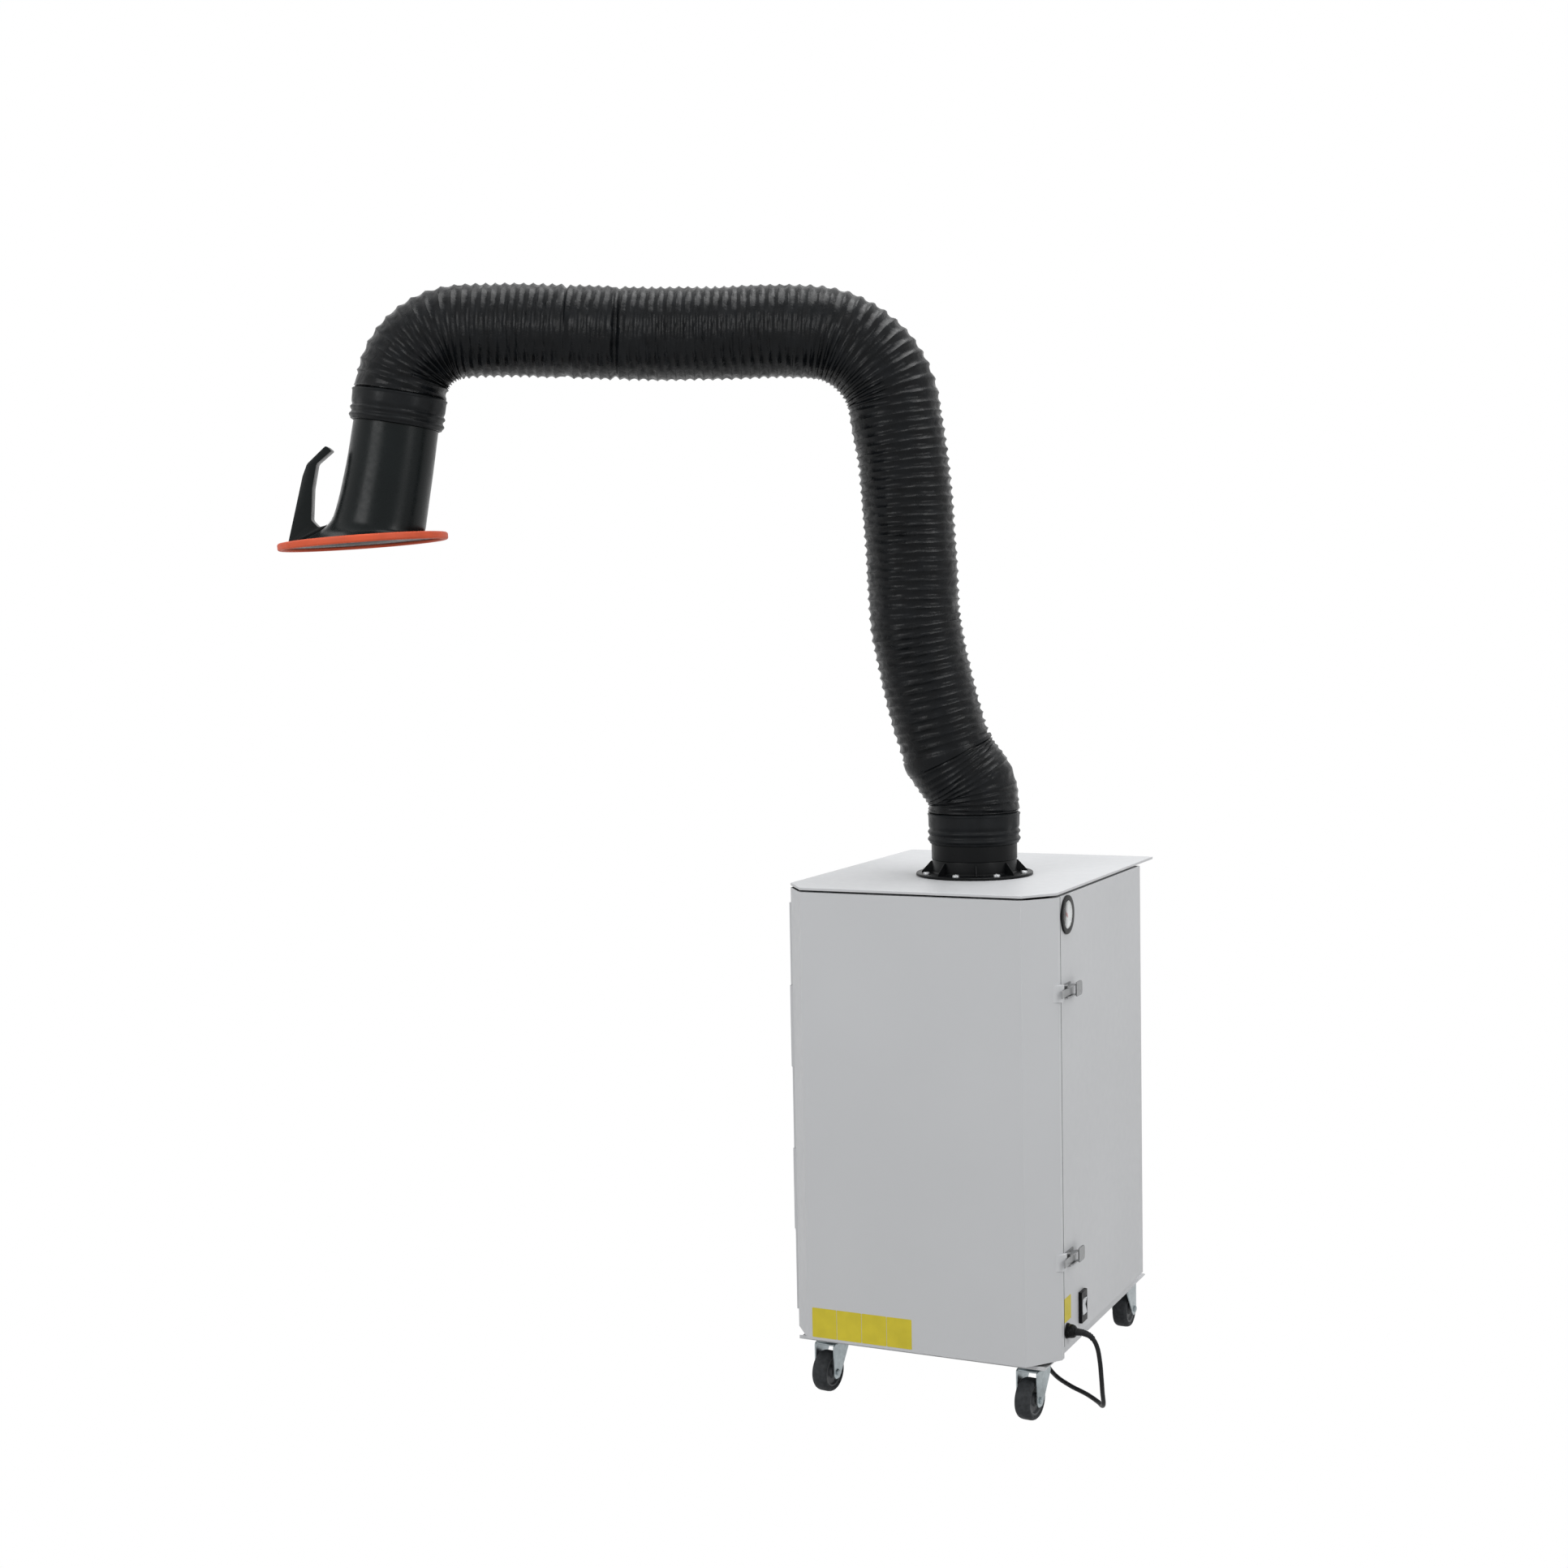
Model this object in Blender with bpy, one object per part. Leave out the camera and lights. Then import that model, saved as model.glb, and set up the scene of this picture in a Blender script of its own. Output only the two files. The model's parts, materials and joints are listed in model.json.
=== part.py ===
"""Mobile welding fume extractor: a filter cabinet on four casters, and a jointed hose arm with a hood.

Metres, +Z up. X is across the cabinet, -Y is the door side, and the floor is at Z zero. Pieces are
modelled about the cabinet's middle, and the root empty then centres the whole object on its own box.
"""

import math

import bmesh
import bpy
from mathutils import Matrix, Vector

# General sizes
SEAT = 0.0003
RUNNING_GAP = 0.0006
SHEET = 0.0015
HEAVY_SHEET = 0.003
OVERRUN = 0.002
ROUND_SIDES = 20
SMALL_SIDES = 8
BOLT_SIDES = 6
SHARP_ANGLE = math.radians(32)
FULL_TURN = 2 * math.pi
FLAT_SHARE = math.cos(math.pi / ROUND_SIDES)

# Cabinet
CABINET_WIDTH = 0.520
CABINET_DEPTH = 0.568
CABINET_HEIGHT = 0.853
COVER_OVERHANG = 0.089
COVER_EDGE = 0.0048
COVER_GAP = 0.0037
COVER_PLINTH_INSET = 0.012
CHAMFER_X = 0.047
CHAMFER_Y = 0.0615
DOOR_RETURN = 0.013
FLANGE_FOLD = 0.015

# Base
BASE_INSET = 0.019
BASE_FRONT_INSET = 0.022
BASE_LIFT = 0.030
BASE_LIP = 0.0175
BASE_UPSTAND = 0.007
DOOR_RAISE = 0.010

# Filter, deck and dust tray
DECK_RISE = 0.313
DECK_HOLE = 0.180
DECK_FOLD = 0.020
FILTER_DIAMETER = 0.300
FILTER_ROOM = 0.140
FILTER_BORE = 0.180
FILTER_CAP = 0.018
FILTER_CAP_LIP = 0.003
PLEAT_DEPTH = 0.012
PLEATS = 23
TRAY_HEIGHT = 0.030
TRAY_MARGIN = 0.020
TRAY_CLEARANCE = 0.006

# Fan
FAN_HEIGHT = 0.145
FAN_RADIUS = 0.150
FAN_SPREAD = 0.050
FAN_OFFSET_Y = 0.010
FAN_SPIRAL_STEPS = 22
IMPELLER_RADIUS = 0.125
IMPELLER_HEIGHT = 0.090
IMPELLER_EYE = 0.070
IMPELLER_BLADES = 7
IMPELLER_HUB = 0.022
BLADE_THICKNESS = 0.003
SHAFT_RADIUS = 0.009
SHAFT_CLEARANCE = 0.003
FAN_SHAFT_DROP = 0.005
MOTOR_RADIUS = 0.080
MOTOR_FINS = 14
MOTOR_FIN_DEPTH = 0.006
MOTOR_FOOT = 0.012
MOTOR_FOOT_SPREAD = 0.105

# Exhaust box behind the rear panel
EXHAUST_WIDTH = 0.440
EXHAUST_DEPTH = 0.078
EXHAUST_HEIGHT = 0.520
EXHAUST_SLOTS = 6
EXHAUST_SLOT_WIDTH = 0.330
EXHAUST_SLOT_HEIGHT = 0.010
EXHAUST_SLOT_PITCH = 0.030
EXHAUST_SLOT_RISE = 0.240

# Gauge on the right side
GAUGE_DIAMETER = 0.070
GAUGE_BODY = 0.060
GAUGE_DEPTH = 0.038
GAUGE_PROUD = 0.0035
GAUGE_RIM = 0.004
GAUGE_LENS = 0.0009
GAUGE_DIAL_DROP = 0.0034
GAUGE_FROM_SEAM = 0.037
GAUGE_FROM_TOP = 0.045
NEEDLE_WIDTH = 0.0016
NEEDLE_THICKNESS = 0.0007
NEEDLE_LENGTH = 0.023
NEEDLE_TAIL = 0.007
NEEDLE_HUB = 0.0025
NEEDLE_LIFT = 0.0004
NEEDLE_REST = math.radians(35)

# Rocker switch on the right side
SWITCH_WIDTH = 0.032
SWITCH_HEIGHT = 0.058
SWITCH_PROUD = 0.007
SWITCH_DEPTH = 0.026
SWITCH_WALL = 0.0035
SWITCH_FROM_SEAM = 0.098
SWITCH_FROM_BASE = 0.078
ROCKER_SHARE = 0.52
ROCKER_TILT = math.radians(9)
ROCKER_PIN = 0.0016
ROCKER_STANDOFF = 0.0035
CONTROL_WIDTH = 0.060
CONTROL_LENGTH = 0.150
CONTROL_HEIGHT = 0.105

# Cord gland, cord and plug
GLAND_DIAMETER = 0.028
GLAND_THREAD = 0.020
GLAND_NUT = 0.004
GLAND_PROUD = 0.017
GLAND_MOUTH = 0.014
GLAND_FROM_SEAM = 0.015
GLAND_FROM_BASE = 0.056
CORD_DIAMETER = 0.0085
CORD_LENGTH = 5.0
CORD_POINT_STEP = 0.0255
COIL_LAYERS = 4
COIL_TURNS = 3.5
COIL_CLIMB = 0.5
COIL_STEP = 0.0103
COIL_RISE = 0.0093
COIL_POINTS = 20
COIL_TAIL = 0.064
COIL_TAIL_STEPS = 8
COIL_TAIL_LEVEL_SHARE = 0.18
SEGMENT_SHARES = (0.0, 0.25, 0.5, 0.75)
PLUG_DIAMETER = 0.044
PLUG_LENGTH = 0.050
PLUG_SHOULDER = 0.0176
PLUG_PIN_LENGTH = 0.019
PLUG_PIN_RADIUS = 0.0024
PLUG_PIN_SPREAD = 0.0095

# Door latches and hinge
LATCH_UPPER_DROP = 0.180
LATCH_LOWER_RISE = 0.188
LATCH_WIDTH = 0.026
LATCH_BASE_LENGTH = 0.044
LATCH_BASE_START = 0.005
LATCH_BASE_SHEET = 0.0025
LATCH_PIVOT_RISE = 0.0062
LATCH_PIVOT_BACK = 0.012
LATCH_PIN = 0.0015
LATCH_PIN_BORE = 0.0018
LATCH_KNUCKLE = 0.0030
LATCH_CHEEK = 0.0024
LATCH_EAR = 0.0025
LATCH_LEVER_SHEET = 0.0022
LATCH_LEVER_LENGTH = 0.061
LATCH_WEB_START = 0.029
LATCH_LEVER_RISE = 0.0098
LATCH_HOOK_BACK = 0.021
LATCH_HOOK_RISE = 0.0028
LATCH_HOOK_WIDTH = 0.0140
LATCH_HOOK_SHEET = 0.0018
LATCH_HOOK_LENGTH = 0.054
KEEPER_HEIGHT = 0.030
KEEPER_PROUD = 0.0072
KEEPER_LENGTH = 0.010
HINGE_RADIUS = 0.0045
HINGE_PIN = 0.0022
HINGE_LEAF = 0.012
HINGE_KNUCKLES = 5
HINGE_END_GAP = 0.030
GASKET_WIDTH = 0.013

# Casters
CASTER_HEIGHT = 0.107
WHEEL_DIAMETER = 0.075
WHEEL_WIDTH = 0.030
WHEEL_TYRE = 0.010
WHEEL_HUB_STEP = 0.002
WHEEL_SIDES = 18
CASTER_TRAIL = 0.028
CASTER_X = 0.200
CASTER_FRONT_Y = 0.192
CASTER_REAR_Y = 0.3245
CASTER_FRONT_TURN = math.radians(6)
CASTER_PLATE_X = 0.070
CASTER_PLATE_Y = 0.092
CASTER_BOLT = 0.0055
CASTER_BOLT_HEAD = 0.003
CASTER_BOLT_INSET = 0.009
FORK_WIDTH = 0.043
FORK_SHEET = 0.003
FORK_CROWN_DROP = 0.0145
FORK_STEM = 0.019
FORK_EAR_LENGTH = 0.056
FORK_EDGE = 0.012
FORK_NOSE_DROP = 0.012
AXLE_RADIUS = 0.004
AXLE_NUT = 0.0065
AXLE_NUT_HEIGHT = 0.004
PEDAL_LENGTH = 0.044
PEDAL_SHEET = 0.0025
PEDAL_PIN = 0.0030
PEDAL_PIN_BACK = 0.008

# Arm: the flange and pipe on the cover
ARM_X = 0.022
ARM_Y = -0.002
ARM_AZIMUTH = math.radians(205.54)
DUCT_DIAMETER = 0.160
DUCT_WALL = 0.002
FLANGE_DIAMETER = 0.221
FLANGE_SHEET = 0.005
FLANGE_PIPE_HEIGHT = 0.030
FLANGE_BOLTS = 8
FLANGE_BOLT = 0.0065
FLANGE_BOLT_HEAD = 0.0045
FLANGE_BOLT_INSET = 0.012
FLANGE_GUSSET = 0.022
SWIVEL_TAIL = 0.040
BRACKET_SHEET = 0.004

# Arm: pivots, in the arm's own plane
SHOULDER_RISE = 0.115
LOWER_REACH = 0.155
LOWER_RISE = 0.885
UPPER_REACH = 0.865
UPPER_RISE = 0.005
LINK_WIDTH = 0.020
LINK_DEPTH = 0.026
LINK_SHEET = 0.003
LINK_EYE = 0.018
EYE_TURN = math.radians(240)
LINK_PIN = 0.006
LINK_PIN_BORE = 0.0067
LINK_SPOKE_SHEET = 0.003
LINK_SPOKE_WIDTH = 0.014
LINK_HOOP = 0.0035
LINK_FORK = 0.034

# Arm: hose
HOSE_DIAMETER = 0.1736
HOSE_VALLEY = 0.0045
HOSE_WALL = 0.0035
HOSE_SIDES = 8
BORE_RING_EVERY = 4
HOSE_PITCH = 0.0170
HOSE_FINE_PITCH = 0.0105
HOSE_FINE_VALLEY = 0.003
HOSE_JOINT_GAP = 0.0008
SEAM_BAND = 0.014
SEAM_BAND_PROUD = 0.001
ELBOW_BEND = 0.171
BASE_BEND = 0.120
CUFF_DIAMETER = 0.176
CUFF_HEIGHT = 0.060
CUFF_LOW = 0.060
SWIVEL_OVERLAP = 0.040
CUFF_WALL = 0.0035
HOSE_STRAIGHT = 0.004
SHOULDER_HOSE_LENGTH = 0.175
ELBOW_HOSE_BEFORE = 0.190
ELBOW_HOSE_AFTER = 0.190
WRIST_HOSE_BEFORE = 0.180
FINE_HOSE_LENGTH = 0.118
SUPPORT_INSET = 0.055

# Shares that place the hose's middle line beside the pivots
LOWER_HOSE_SHARES = ((0.316, 0.139), (0.658, 0.388), (0.707, 0.525), (0.756, 0.676), (0.803, 0.763))
ELBOW_CENTRE_SHARES = (0.877, -0.871)
ELBOW_ARC_SHARES = (1.0, 0.75, 0.5, 0.25, 0.0)
UPPER_HOSE_SHARES = ((0.364, 0.253), (0.538, 0.276), (0.665, 0.346), (0.780, 0.397))
WRIST_ARC_SHARES = (1.0, 0.75, 0.5, 0.25, 0.0)
BASE_LEAN_SHARES = (0.5, 1.0)
BASE_LEAN = math.radians(20)

# Hood
HOOD_CUFF_REACH = 0.0485
HOOD_CUFF_DROP = 0.1415
HOOD_TILT = math.radians(9.3)
HOOD_CUFF_HEIGHT = 0.060
HOOD_CUFF_DIAMETER = 0.178
HOOD_PIPE_DIAMETER = 0.161
HOOD_WALL = 0.003
HOOD_HEIGHT = 0.215
HOOD_TOP_INSERT = 0.020
RIM_DIAMETER = 0.316
RIM_THICKNESS = 0.014
RIM_WIDTH = 0.010
RIM_TILT = math.radians(3.4)
RIM_OFFSET = 0.034
HOOD_SPIGOT = 0.018
HANDLE_WIDTH = 0.030
HANDLE_HEIGHT = 0.182
HANDLE_REACH = 0.0966
HANDLE_ROOT = 0.040
HOOD_SECTION_SHARES = (
    (0.0, 0.0, 0.0), (0.1, 0.0, 0.0), (0.5, 0.03, 0.03), (0.85, 0.10, 0.17), (0.93, 0.20, 0.4),
    (0.965, 0.42, 0.75), (0.985, 0.72, 1.0), (0.995, 1.0, 1.0),
)
HANDLE_SHARES = (
    (1.0, 0.0), (1.0, 0.053), (0.607, 0.710), (0.500, 0.830), (0.108, 1.0), (0.0, 0.945),
    (0.319, 0.822), (0.442, 0.579), (0.522, 0.258), (0.396, 0.178), (0.228, 0.196),
    (0.068, 0.289), (0.04, 0.20), (0.12, 0.10), (0.25, 0.0),
)

# Sizes that follow from the ones above
LATCHES = {"upper": CABINET_HEIGHT - LATCH_UPPER_DROP, "lower": LATCH_LOWER_RISE}
HALF_WIDTH = CABINET_WIDTH / 2
FRONT = -CABINET_DEPTH / 2
REAR = CABINET_DEPTH / 2
BASE = CASTER_HEIGHT
TOP = BASE + CABINET_HEIGHT
PANEL_BOTTOM = BASE + BASE_LIFT
PANEL_TOP = TOP - COVER_EDGE - COVER_GAP
SEAM = FRONT + CHAMFER_Y + DOOR_RETURN
DOOR_BOTTOM = BASE + DOOR_RAISE
BACK_OF_COVER = REAR + COVER_OVERHANG
BASE_TOP = BASE + HEAVY_SHEET
DECK = BASE + DECK_RISE
FILTER_HEIGHT = TOP - FILTER_ROOM - DECK
DUCT_RADIUS = DUCT_DIAMETER / 2
WHEEL_RADIUS = WHEEL_DIAMETER / 2
PANEL_INSIDE = HALF_WIDTH - SHEET


# Scene, bodies and materials

def clear_scene():
    for obj in list(bpy.data.objects):
        bpy.data.objects.remove(obj)


def material(name, colour, roughness, metallic=0.0):
    made = bpy.data.materials.new(name)
    made.use_nodes = True
    shader = made.node_tree.nodes["Principled BSDF"]
    shader.inputs["Base Color"].default_value = (*colour, 1.0)
    shader.inputs["Roughness"].default_value = roughness
    shader.inputs["Metallic"].default_value = metallic
    return made


def finishes():
    return {
        "powder": ((0.60, 0.62, 0.63), 0.55, 0.0),
        "zinc": ((0.45, 0.50, 0.52), 0.35, 0.9),
        "steel": ((0.50, 0.51, 0.52), 0.30, 1.0),
        "hose": ((0.012, 0.013, 0.015), 0.45, 0.0),
        "rubber": ((0.020, 0.021, 0.023), 0.60, 0.0),
        "tyre": ((0.045, 0.048, 0.050), 0.75, 0.0),
        "hood": ((0.016, 0.022, 0.022), 0.28, 0.0),
        "orange": ((0.75, 0.10, 0.03), 0.50, 0.0),
        "plastic": ((0.020, 0.020, 0.022), 0.40, 0.0),
        "pale": ((0.70, 0.71, 0.72), 0.35, 0.0),
        "lens": ((0.85, 0.88, 0.90), 0.05, 0.0),
        "filter": ((0.80, 0.79, 0.74), 0.90, 0.0),
        "red": ((0.50, 0.02, 0.02), 0.40, 0.0),
    }


class Bodies:
    """Empties that the pieces hang on, each on its joint's axis, with their places at rest."""

    def __init__(self):
        self.empties = {}
        self.places = {}

    def add(self, name, place, parent=None):
        empty = bpy.data.objects.new("body_" + name, None)
        bpy.context.scene.collection.objects.link(empty)
        empty.empty_display_size = BASE_LIFT
        if parent:
            empty.parent = self.empties[parent]
            empty.matrix_basis = self.places[parent].inverted() @ place
        else:
            empty.matrix_basis = place
        self.empties[name] = empty
        self.places[name] = place


BODIES = Bodies()


def add(name, data, body, finish):
    """One node: the shape, given about the cabinet's middle, hung on its body's empty."""
    data.transform(BODIES.places[body].inverted())
    data.name = name
    obj = bpy.data.objects.new(name, data)
    bpy.context.scene.collection.objects.link(obj)
    obj.parent = BODIES.empties[body]
    colour, roughness, metallic = finishes()[finish]
    data.materials.clear()
    data.materials.append(material(name + "_" + finish, colour, roughness, metallic))
    if obj.type == "MESH":
        data.shade_smooth()
        data.set_sharp_from_angle(angle=SHARP_ANGLE)
    return obj


# Shapes

def finished(shape):
    bmesh.ops.recalc_face_normals(shape, faces=shape.faces)
    data = bpy.data.meshes.new("shape")
    shape.to_mesh(data)
    shape.free()
    return data


def block(low, high):
    shape = bmesh.new()
    bmesh.ops.create_cube(shape, size=1)
    middle = (Vector(low) + Vector(high)) / 2
    size = Vector(high) - Vector(low)
    shape.transform(Matrix.Translation(middle) @ Matrix.Diagonal((*size, 1)))
    return finished(shape)


def prism(outline, start, end, plane="XY"):
    """An outline pushed along the axis that its plane leaves out."""
    order = {"XY": (0, 1, 2), "XZ": (0, 2, 1), "YZ": (2, 0, 1)}[plane]
    shape = bmesh.new()
    rings = []
    for level in (start, end):
        places = [(u, v, level) for u, v in outline]
        rings.append([shape.verts.new([place[i] for i in order]) for place in places])
    count = len(outline)
    for i in range(count):
        j = (i + 1) % count
        shape.faces.new((rings[0][i], rings[0][j], rings[1][j], rings[1][i]))
    shape.faces.new(rings[0])
    shape.faces.new(rings[1][::-1])
    return finished(shape)


def turned(profile, place=None, sides=ROUND_SIDES, phase=0.0):
    """A closed profile of (radius, height) turned about the local Z axis."""
    shape = bmesh.new()
    rings = []
    for radius, height in profile:
        if radius == 0:
            rings.append([shape.verts.new((0, 0, height))])
            continue
        angles = [phase + FULL_TURN * i / sides for i in range(sides)]
        rings.append([shape.verts.new((radius * math.cos(a), radius * math.sin(a), height)) for a in angles])
    for ring, after in zip(rings, rings[1:] + rings[:1]):
        if len(ring) == 1 and len(after) == 1:
            continue
        for i in range(sides):
            j = (i + 1) % sides
            corners = [ring[i % len(ring)], ring[j % len(ring)], after[j % len(after)], after[i % len(after)]]
            shape.faces.new(list(dict.fromkeys(corners)))
    if place:
        shape.transform(place)
    return finished(shape)


def looking(start, direction):
    """A place with its Z axis along the direction."""
    turn = Vector(direction).to_track_quat("Z", "Y").to_matrix().to_4x4()
    return Matrix.Translation(start) @ turn


def rod(start, end, radius, sides=SMALL_SIDES):
    span = Vector(end) - Vector(start)
    profile = [(0, 0), (radius, 0), (radius, span.length), (0, span.length)]
    return turned(profile, looking(start, span), sides)


def moved(data, place):
    data.transform(place)
    return data


def combined(base, others, operation):
    """The base with the other shapes joined on or cut out, exactly."""
    target = bpy.data.objects.new("work", base)
    helpers = [bpy.data.objects.new("helper", other) for other in others]
    for obj in [target, *helpers]:
        bpy.context.scene.collection.objects.link(obj)
    for helper in helpers:
        step = target.modifiers.new("step", "BOOLEAN")
        step.operation = operation
        step.object = helper
    bpy.context.view_layer.update()
    graph = bpy.context.evaluated_depsgraph_get()
    made = bpy.data.meshes.new_from_object(target.evaluated_get(graph))
    for obj in [target, *helpers]:
        bpy.data.objects.remove(obj)
    return made


def joined(base, *others):
    return combined(base, others, "UNION")


def cut(base, *others):
    return combined(base, others, "DIFFERENCE")


def folded(line, thickness):
    """The outline of a sheet bent along an open line, its thickness laid to the line's left."""
    points = [Vector(point) for point in line]
    sides = [(after - before).normalized() for before, after in zip(points, points[1:])]
    normals = [Vector((-side.y, side.x)) for side in sides]
    normals = [normals[0], *normals, normals[-1]]
    inner = []
    for point, before, after in zip(points, normals, normals[1:]):
        middle = (before + after).normalized()
        inner.append(point + middle * thickness / middle.dot(before))
    return [tuple(point) for point in points + inner[::-1]]


def closed_tube(outer, inner):
    """One closed body from outer rings and inner rings, both given from end to end."""
    shape = bmesh.new()
    rings = [[shape.verts.new(point) for point in ring] for ring in [*outer, *inner[::-1]]]
    for ring, after in zip(rings, rings[1:] + rings[:1]):
        for i in range(len(ring)):
            j = (i + 1) % len(ring)
            shape.faces.new((ring[i], ring[j], after[j], after[i]))
    return finished(shape)


# Cabinet

def door_line(inset=0.0):
    """The door's outer line in plan, from one return round both chamfers to the other."""
    edge = HALF_WIDTH - inset
    return [
        (-edge, SEAM), (-edge, SEAM - DOOR_RETURN), (-edge + CHAMFER_X, FRONT + inset),
        (edge - CHAMFER_X, FRONT + inset), (edge, SEAM - DOOR_RETURN), (edge, SEAM),
    ]


def base_plate():
    web = HALF_WIDTH - BASE_INSET
    front = FRONT + BASE_FRONT_INSET
    plate = block((-web, front, BASE), (web, BACK_OF_COVER - BASE_FRONT_INSET / 2, BASE_TOP))
    top = PANEL_BOTTOM - SEAT
    upstand = block((-web, front, BASE), (web, front + SHEET, BASE + BASE_UPSTAND))
    parts = [upstand]
    start = SEAM + RUNNING_GAP
    for side in (-1, 1):
        line = [(side * web, BASE), (side * web, top), (side * (web + BASE_LIP), top)]
        if side < 0:
            line = [(-x, z) for x, z in line]
        outline = [(side * x, z) if side < 0 else (x, z) for x, z in folded(line, -SHEET)]
        parts.append(prism(outline, start, REAR - SHEET, "XZ"))
    return joined(plate, *parts)


def side_panel(side):
    line = [
        (side * (HALF_WIDTH - FLANGE_FOLD), SEAM + SEAT), (side * HALF_WIDTH, SEAM + SEAT),
        (side * HALF_WIDTH, REAR),
    ]
    outline = folded(line, side * SHEET)
    wall = prism(outline, PANEL_BOTTOM, PANEL_TOP)
    inner = side * (HALF_WIDTH - 2 * FLANGE_FOLD)
    folds = []
    for level in (PANEL_BOTTOM, PANEL_TOP - SHEET):
        low = (min(inner, side * HALF_WIDTH), SEAM + SEAT, level)
        high = (max(inner, side * HALF_WIDTH), REAR - FLANGE_FOLD - SHEET, level + SHEET)
        folds.append(block(low, high))
    panel = joined(wall, *folds)
    if side < 0:
        return panel
    return cut(panel, *side_holes())


def side_place(y, z):
    """A place on the right panel's outer face, its Z axis pointing out of it."""
    turn = Matrix(((0, 0, 1, HALF_WIDTH), (1, 0, 0, y), (0, 1, 0, z), (0, 0, 0, 1)))
    return turn


def gauge_place():
    return side_place(SEAM + GAUGE_FROM_SEAM, TOP - GAUGE_FROM_TOP)


def switch_place():
    return side_place(SEAM + SWITCH_FROM_SEAM, BASE + SWITCH_FROM_BASE)


def gland_place():
    return side_place(SEAM + GLAND_FROM_SEAM, BASE + GLAND_FROM_BASE)


def side_holes():
    """Cutters for what passes through the right panel."""
    hole = 2 * SHEET
    gauge = turned(disc_profile(GAUGE_BODY / 2 + SEAT, -hole, hole), gauge_place(), ROUND_SIDES)
    gland = turned(disc_profile(GLAND_THREAD / 2 + SEAT, -hole, hole), gland_place(), SMALL_SIDES)
    half = (SWITCH_WIDTH / 2 - SWITCH_WALL + SEAT, SWITCH_HEIGHT / 2 - SWITCH_WALL + SEAT)
    switch = moved(block((-half[0], -half[1], -hole), (half[0], half[1], hole)), switch_place())
    return gauge, gland, switch


def disc_profile(radius, low, high):
    return [(0, low), (radius, low), (radius, high), (0, high)]


def ring_profile(bore, radius, low, high):
    return [(bore, low), (radius, low), (radius, high), (bore, high)]


def rear_panel():
    inside = PANEL_INSIDE - SEAT
    line = [(-inside, REAR - FLANGE_FOLD), (-inside, REAR), (inside, REAR), (inside, REAR - FLANGE_FOLD)]
    pan = prism(folded(line, -SHEET), PANEL_BOTTOM + SEAT, PANEL_TOP)
    apron_x = HALF_WIDTH - BASE_INSET - SHEET - SEAT
    apron = block((-apron_x, REAR - SHEET, BASE_TOP + SEAT), (apron_x, REAR, PANEL_BOTTOM + FLANGE_FOLD))
    return cut(joined(pan, apron), fan_outlet(0, REAR + OVERRUN, SEAT))


def top_cover():
    outline = [*door_line(), (HALF_WIDTH, BACK_OF_COVER), (-HALF_WIDTH, BACK_OF_COVER)]
    corner = (HALF_WIDTH - SHEET, BACK_OF_COVER - SHEET)
    inner = [*door_line(SHEET), corner, (-corner[0], corner[1])]
    sheet = prism(outline, TOP - COVER_EDGE, TOP)
    hollow = prism(inner, TOP - COVER_EDGE - OVERRUN, TOP - SHEET)
    plinth_x = HALF_WIDTH - COVER_PLINTH_INSET
    plinth_y = (SEAM + COVER_PLINTH_INSET, REAR - FLANGE_FOLD)
    low = PANEL_TOP + SEAT
    inside_x, inside_y = plinth_x - SHEET, (plinth_y[0] + SHEET, plinth_y[1] - SHEET)
    plinth = cut(
        block((-plinth_x, plinth_y[0], low), (plinth_x, plinth_y[1], TOP - SHEET / 2)),
        block((-inside_x, inside_y[0], low - OVERRUN), (inside_x, inside_y[1], TOP)),
    )
    middle = Matrix.Translation((ARM_X, ARM_Y, TOP))
    hole = turned(disc_profile(DUCT_RADIUS + SEAT, -COVER_EDGE, OVERRUN), middle)
    return cut(joined(cut(sheet, hollow), plinth), hole)


def filter_deck():
    edge = PANEL_INSIDE - SEAT
    line = [(-edge, DECK - DECK_FOLD), (-edge, DECK), (edge, DECK), (edge, DECK - DECK_FOLD)]
    start = SEAM + SEAT + SHEET + SEAT
    deck = prism(folded(line, -SHEET), start, REAR - FLANGE_FOLD - SEAT, "XZ")
    middle = Matrix.Translation((0, FAN_OFFSET_Y, DECK))
    return cut(deck, turned(disc_profile(DECK_HOLE / 2, -DECK_FOLD, DECK_FOLD), middle))


def filter_cartridge():
    outer = FILTER_DIAMETER / 2
    points = []
    for i in range(2 * PLEATS):
        radius = outer if i % 2 else outer - PLEAT_DEPTH
        angle = math.pi * i / PLEATS
        points.append((radius * math.cos(angle), radius * math.sin(angle)))
    low = SEAT + FILTER_CAP / 2
    pleats = prism(points, low, FILTER_HEIGHT - FILTER_CAP / 2)
    cap = outer + FILTER_CAP_LIP
    ends = [
        turned(disc_profile(cap, SEAT, SEAT + FILTER_CAP)),
        turned(disc_profile(cap, FILTER_HEIGHT - FILTER_CAP, FILTER_HEIGHT)),
    ]
    bore = turned(disc_profile(FILTER_BORE / 2, -OVERRUN, FILTER_HEIGHT - FILTER_CAP))
    return moved(cut(joined(pleats, *ends), bore), Matrix.Translation((0, FAN_OFFSET_Y, DECK)))


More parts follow.
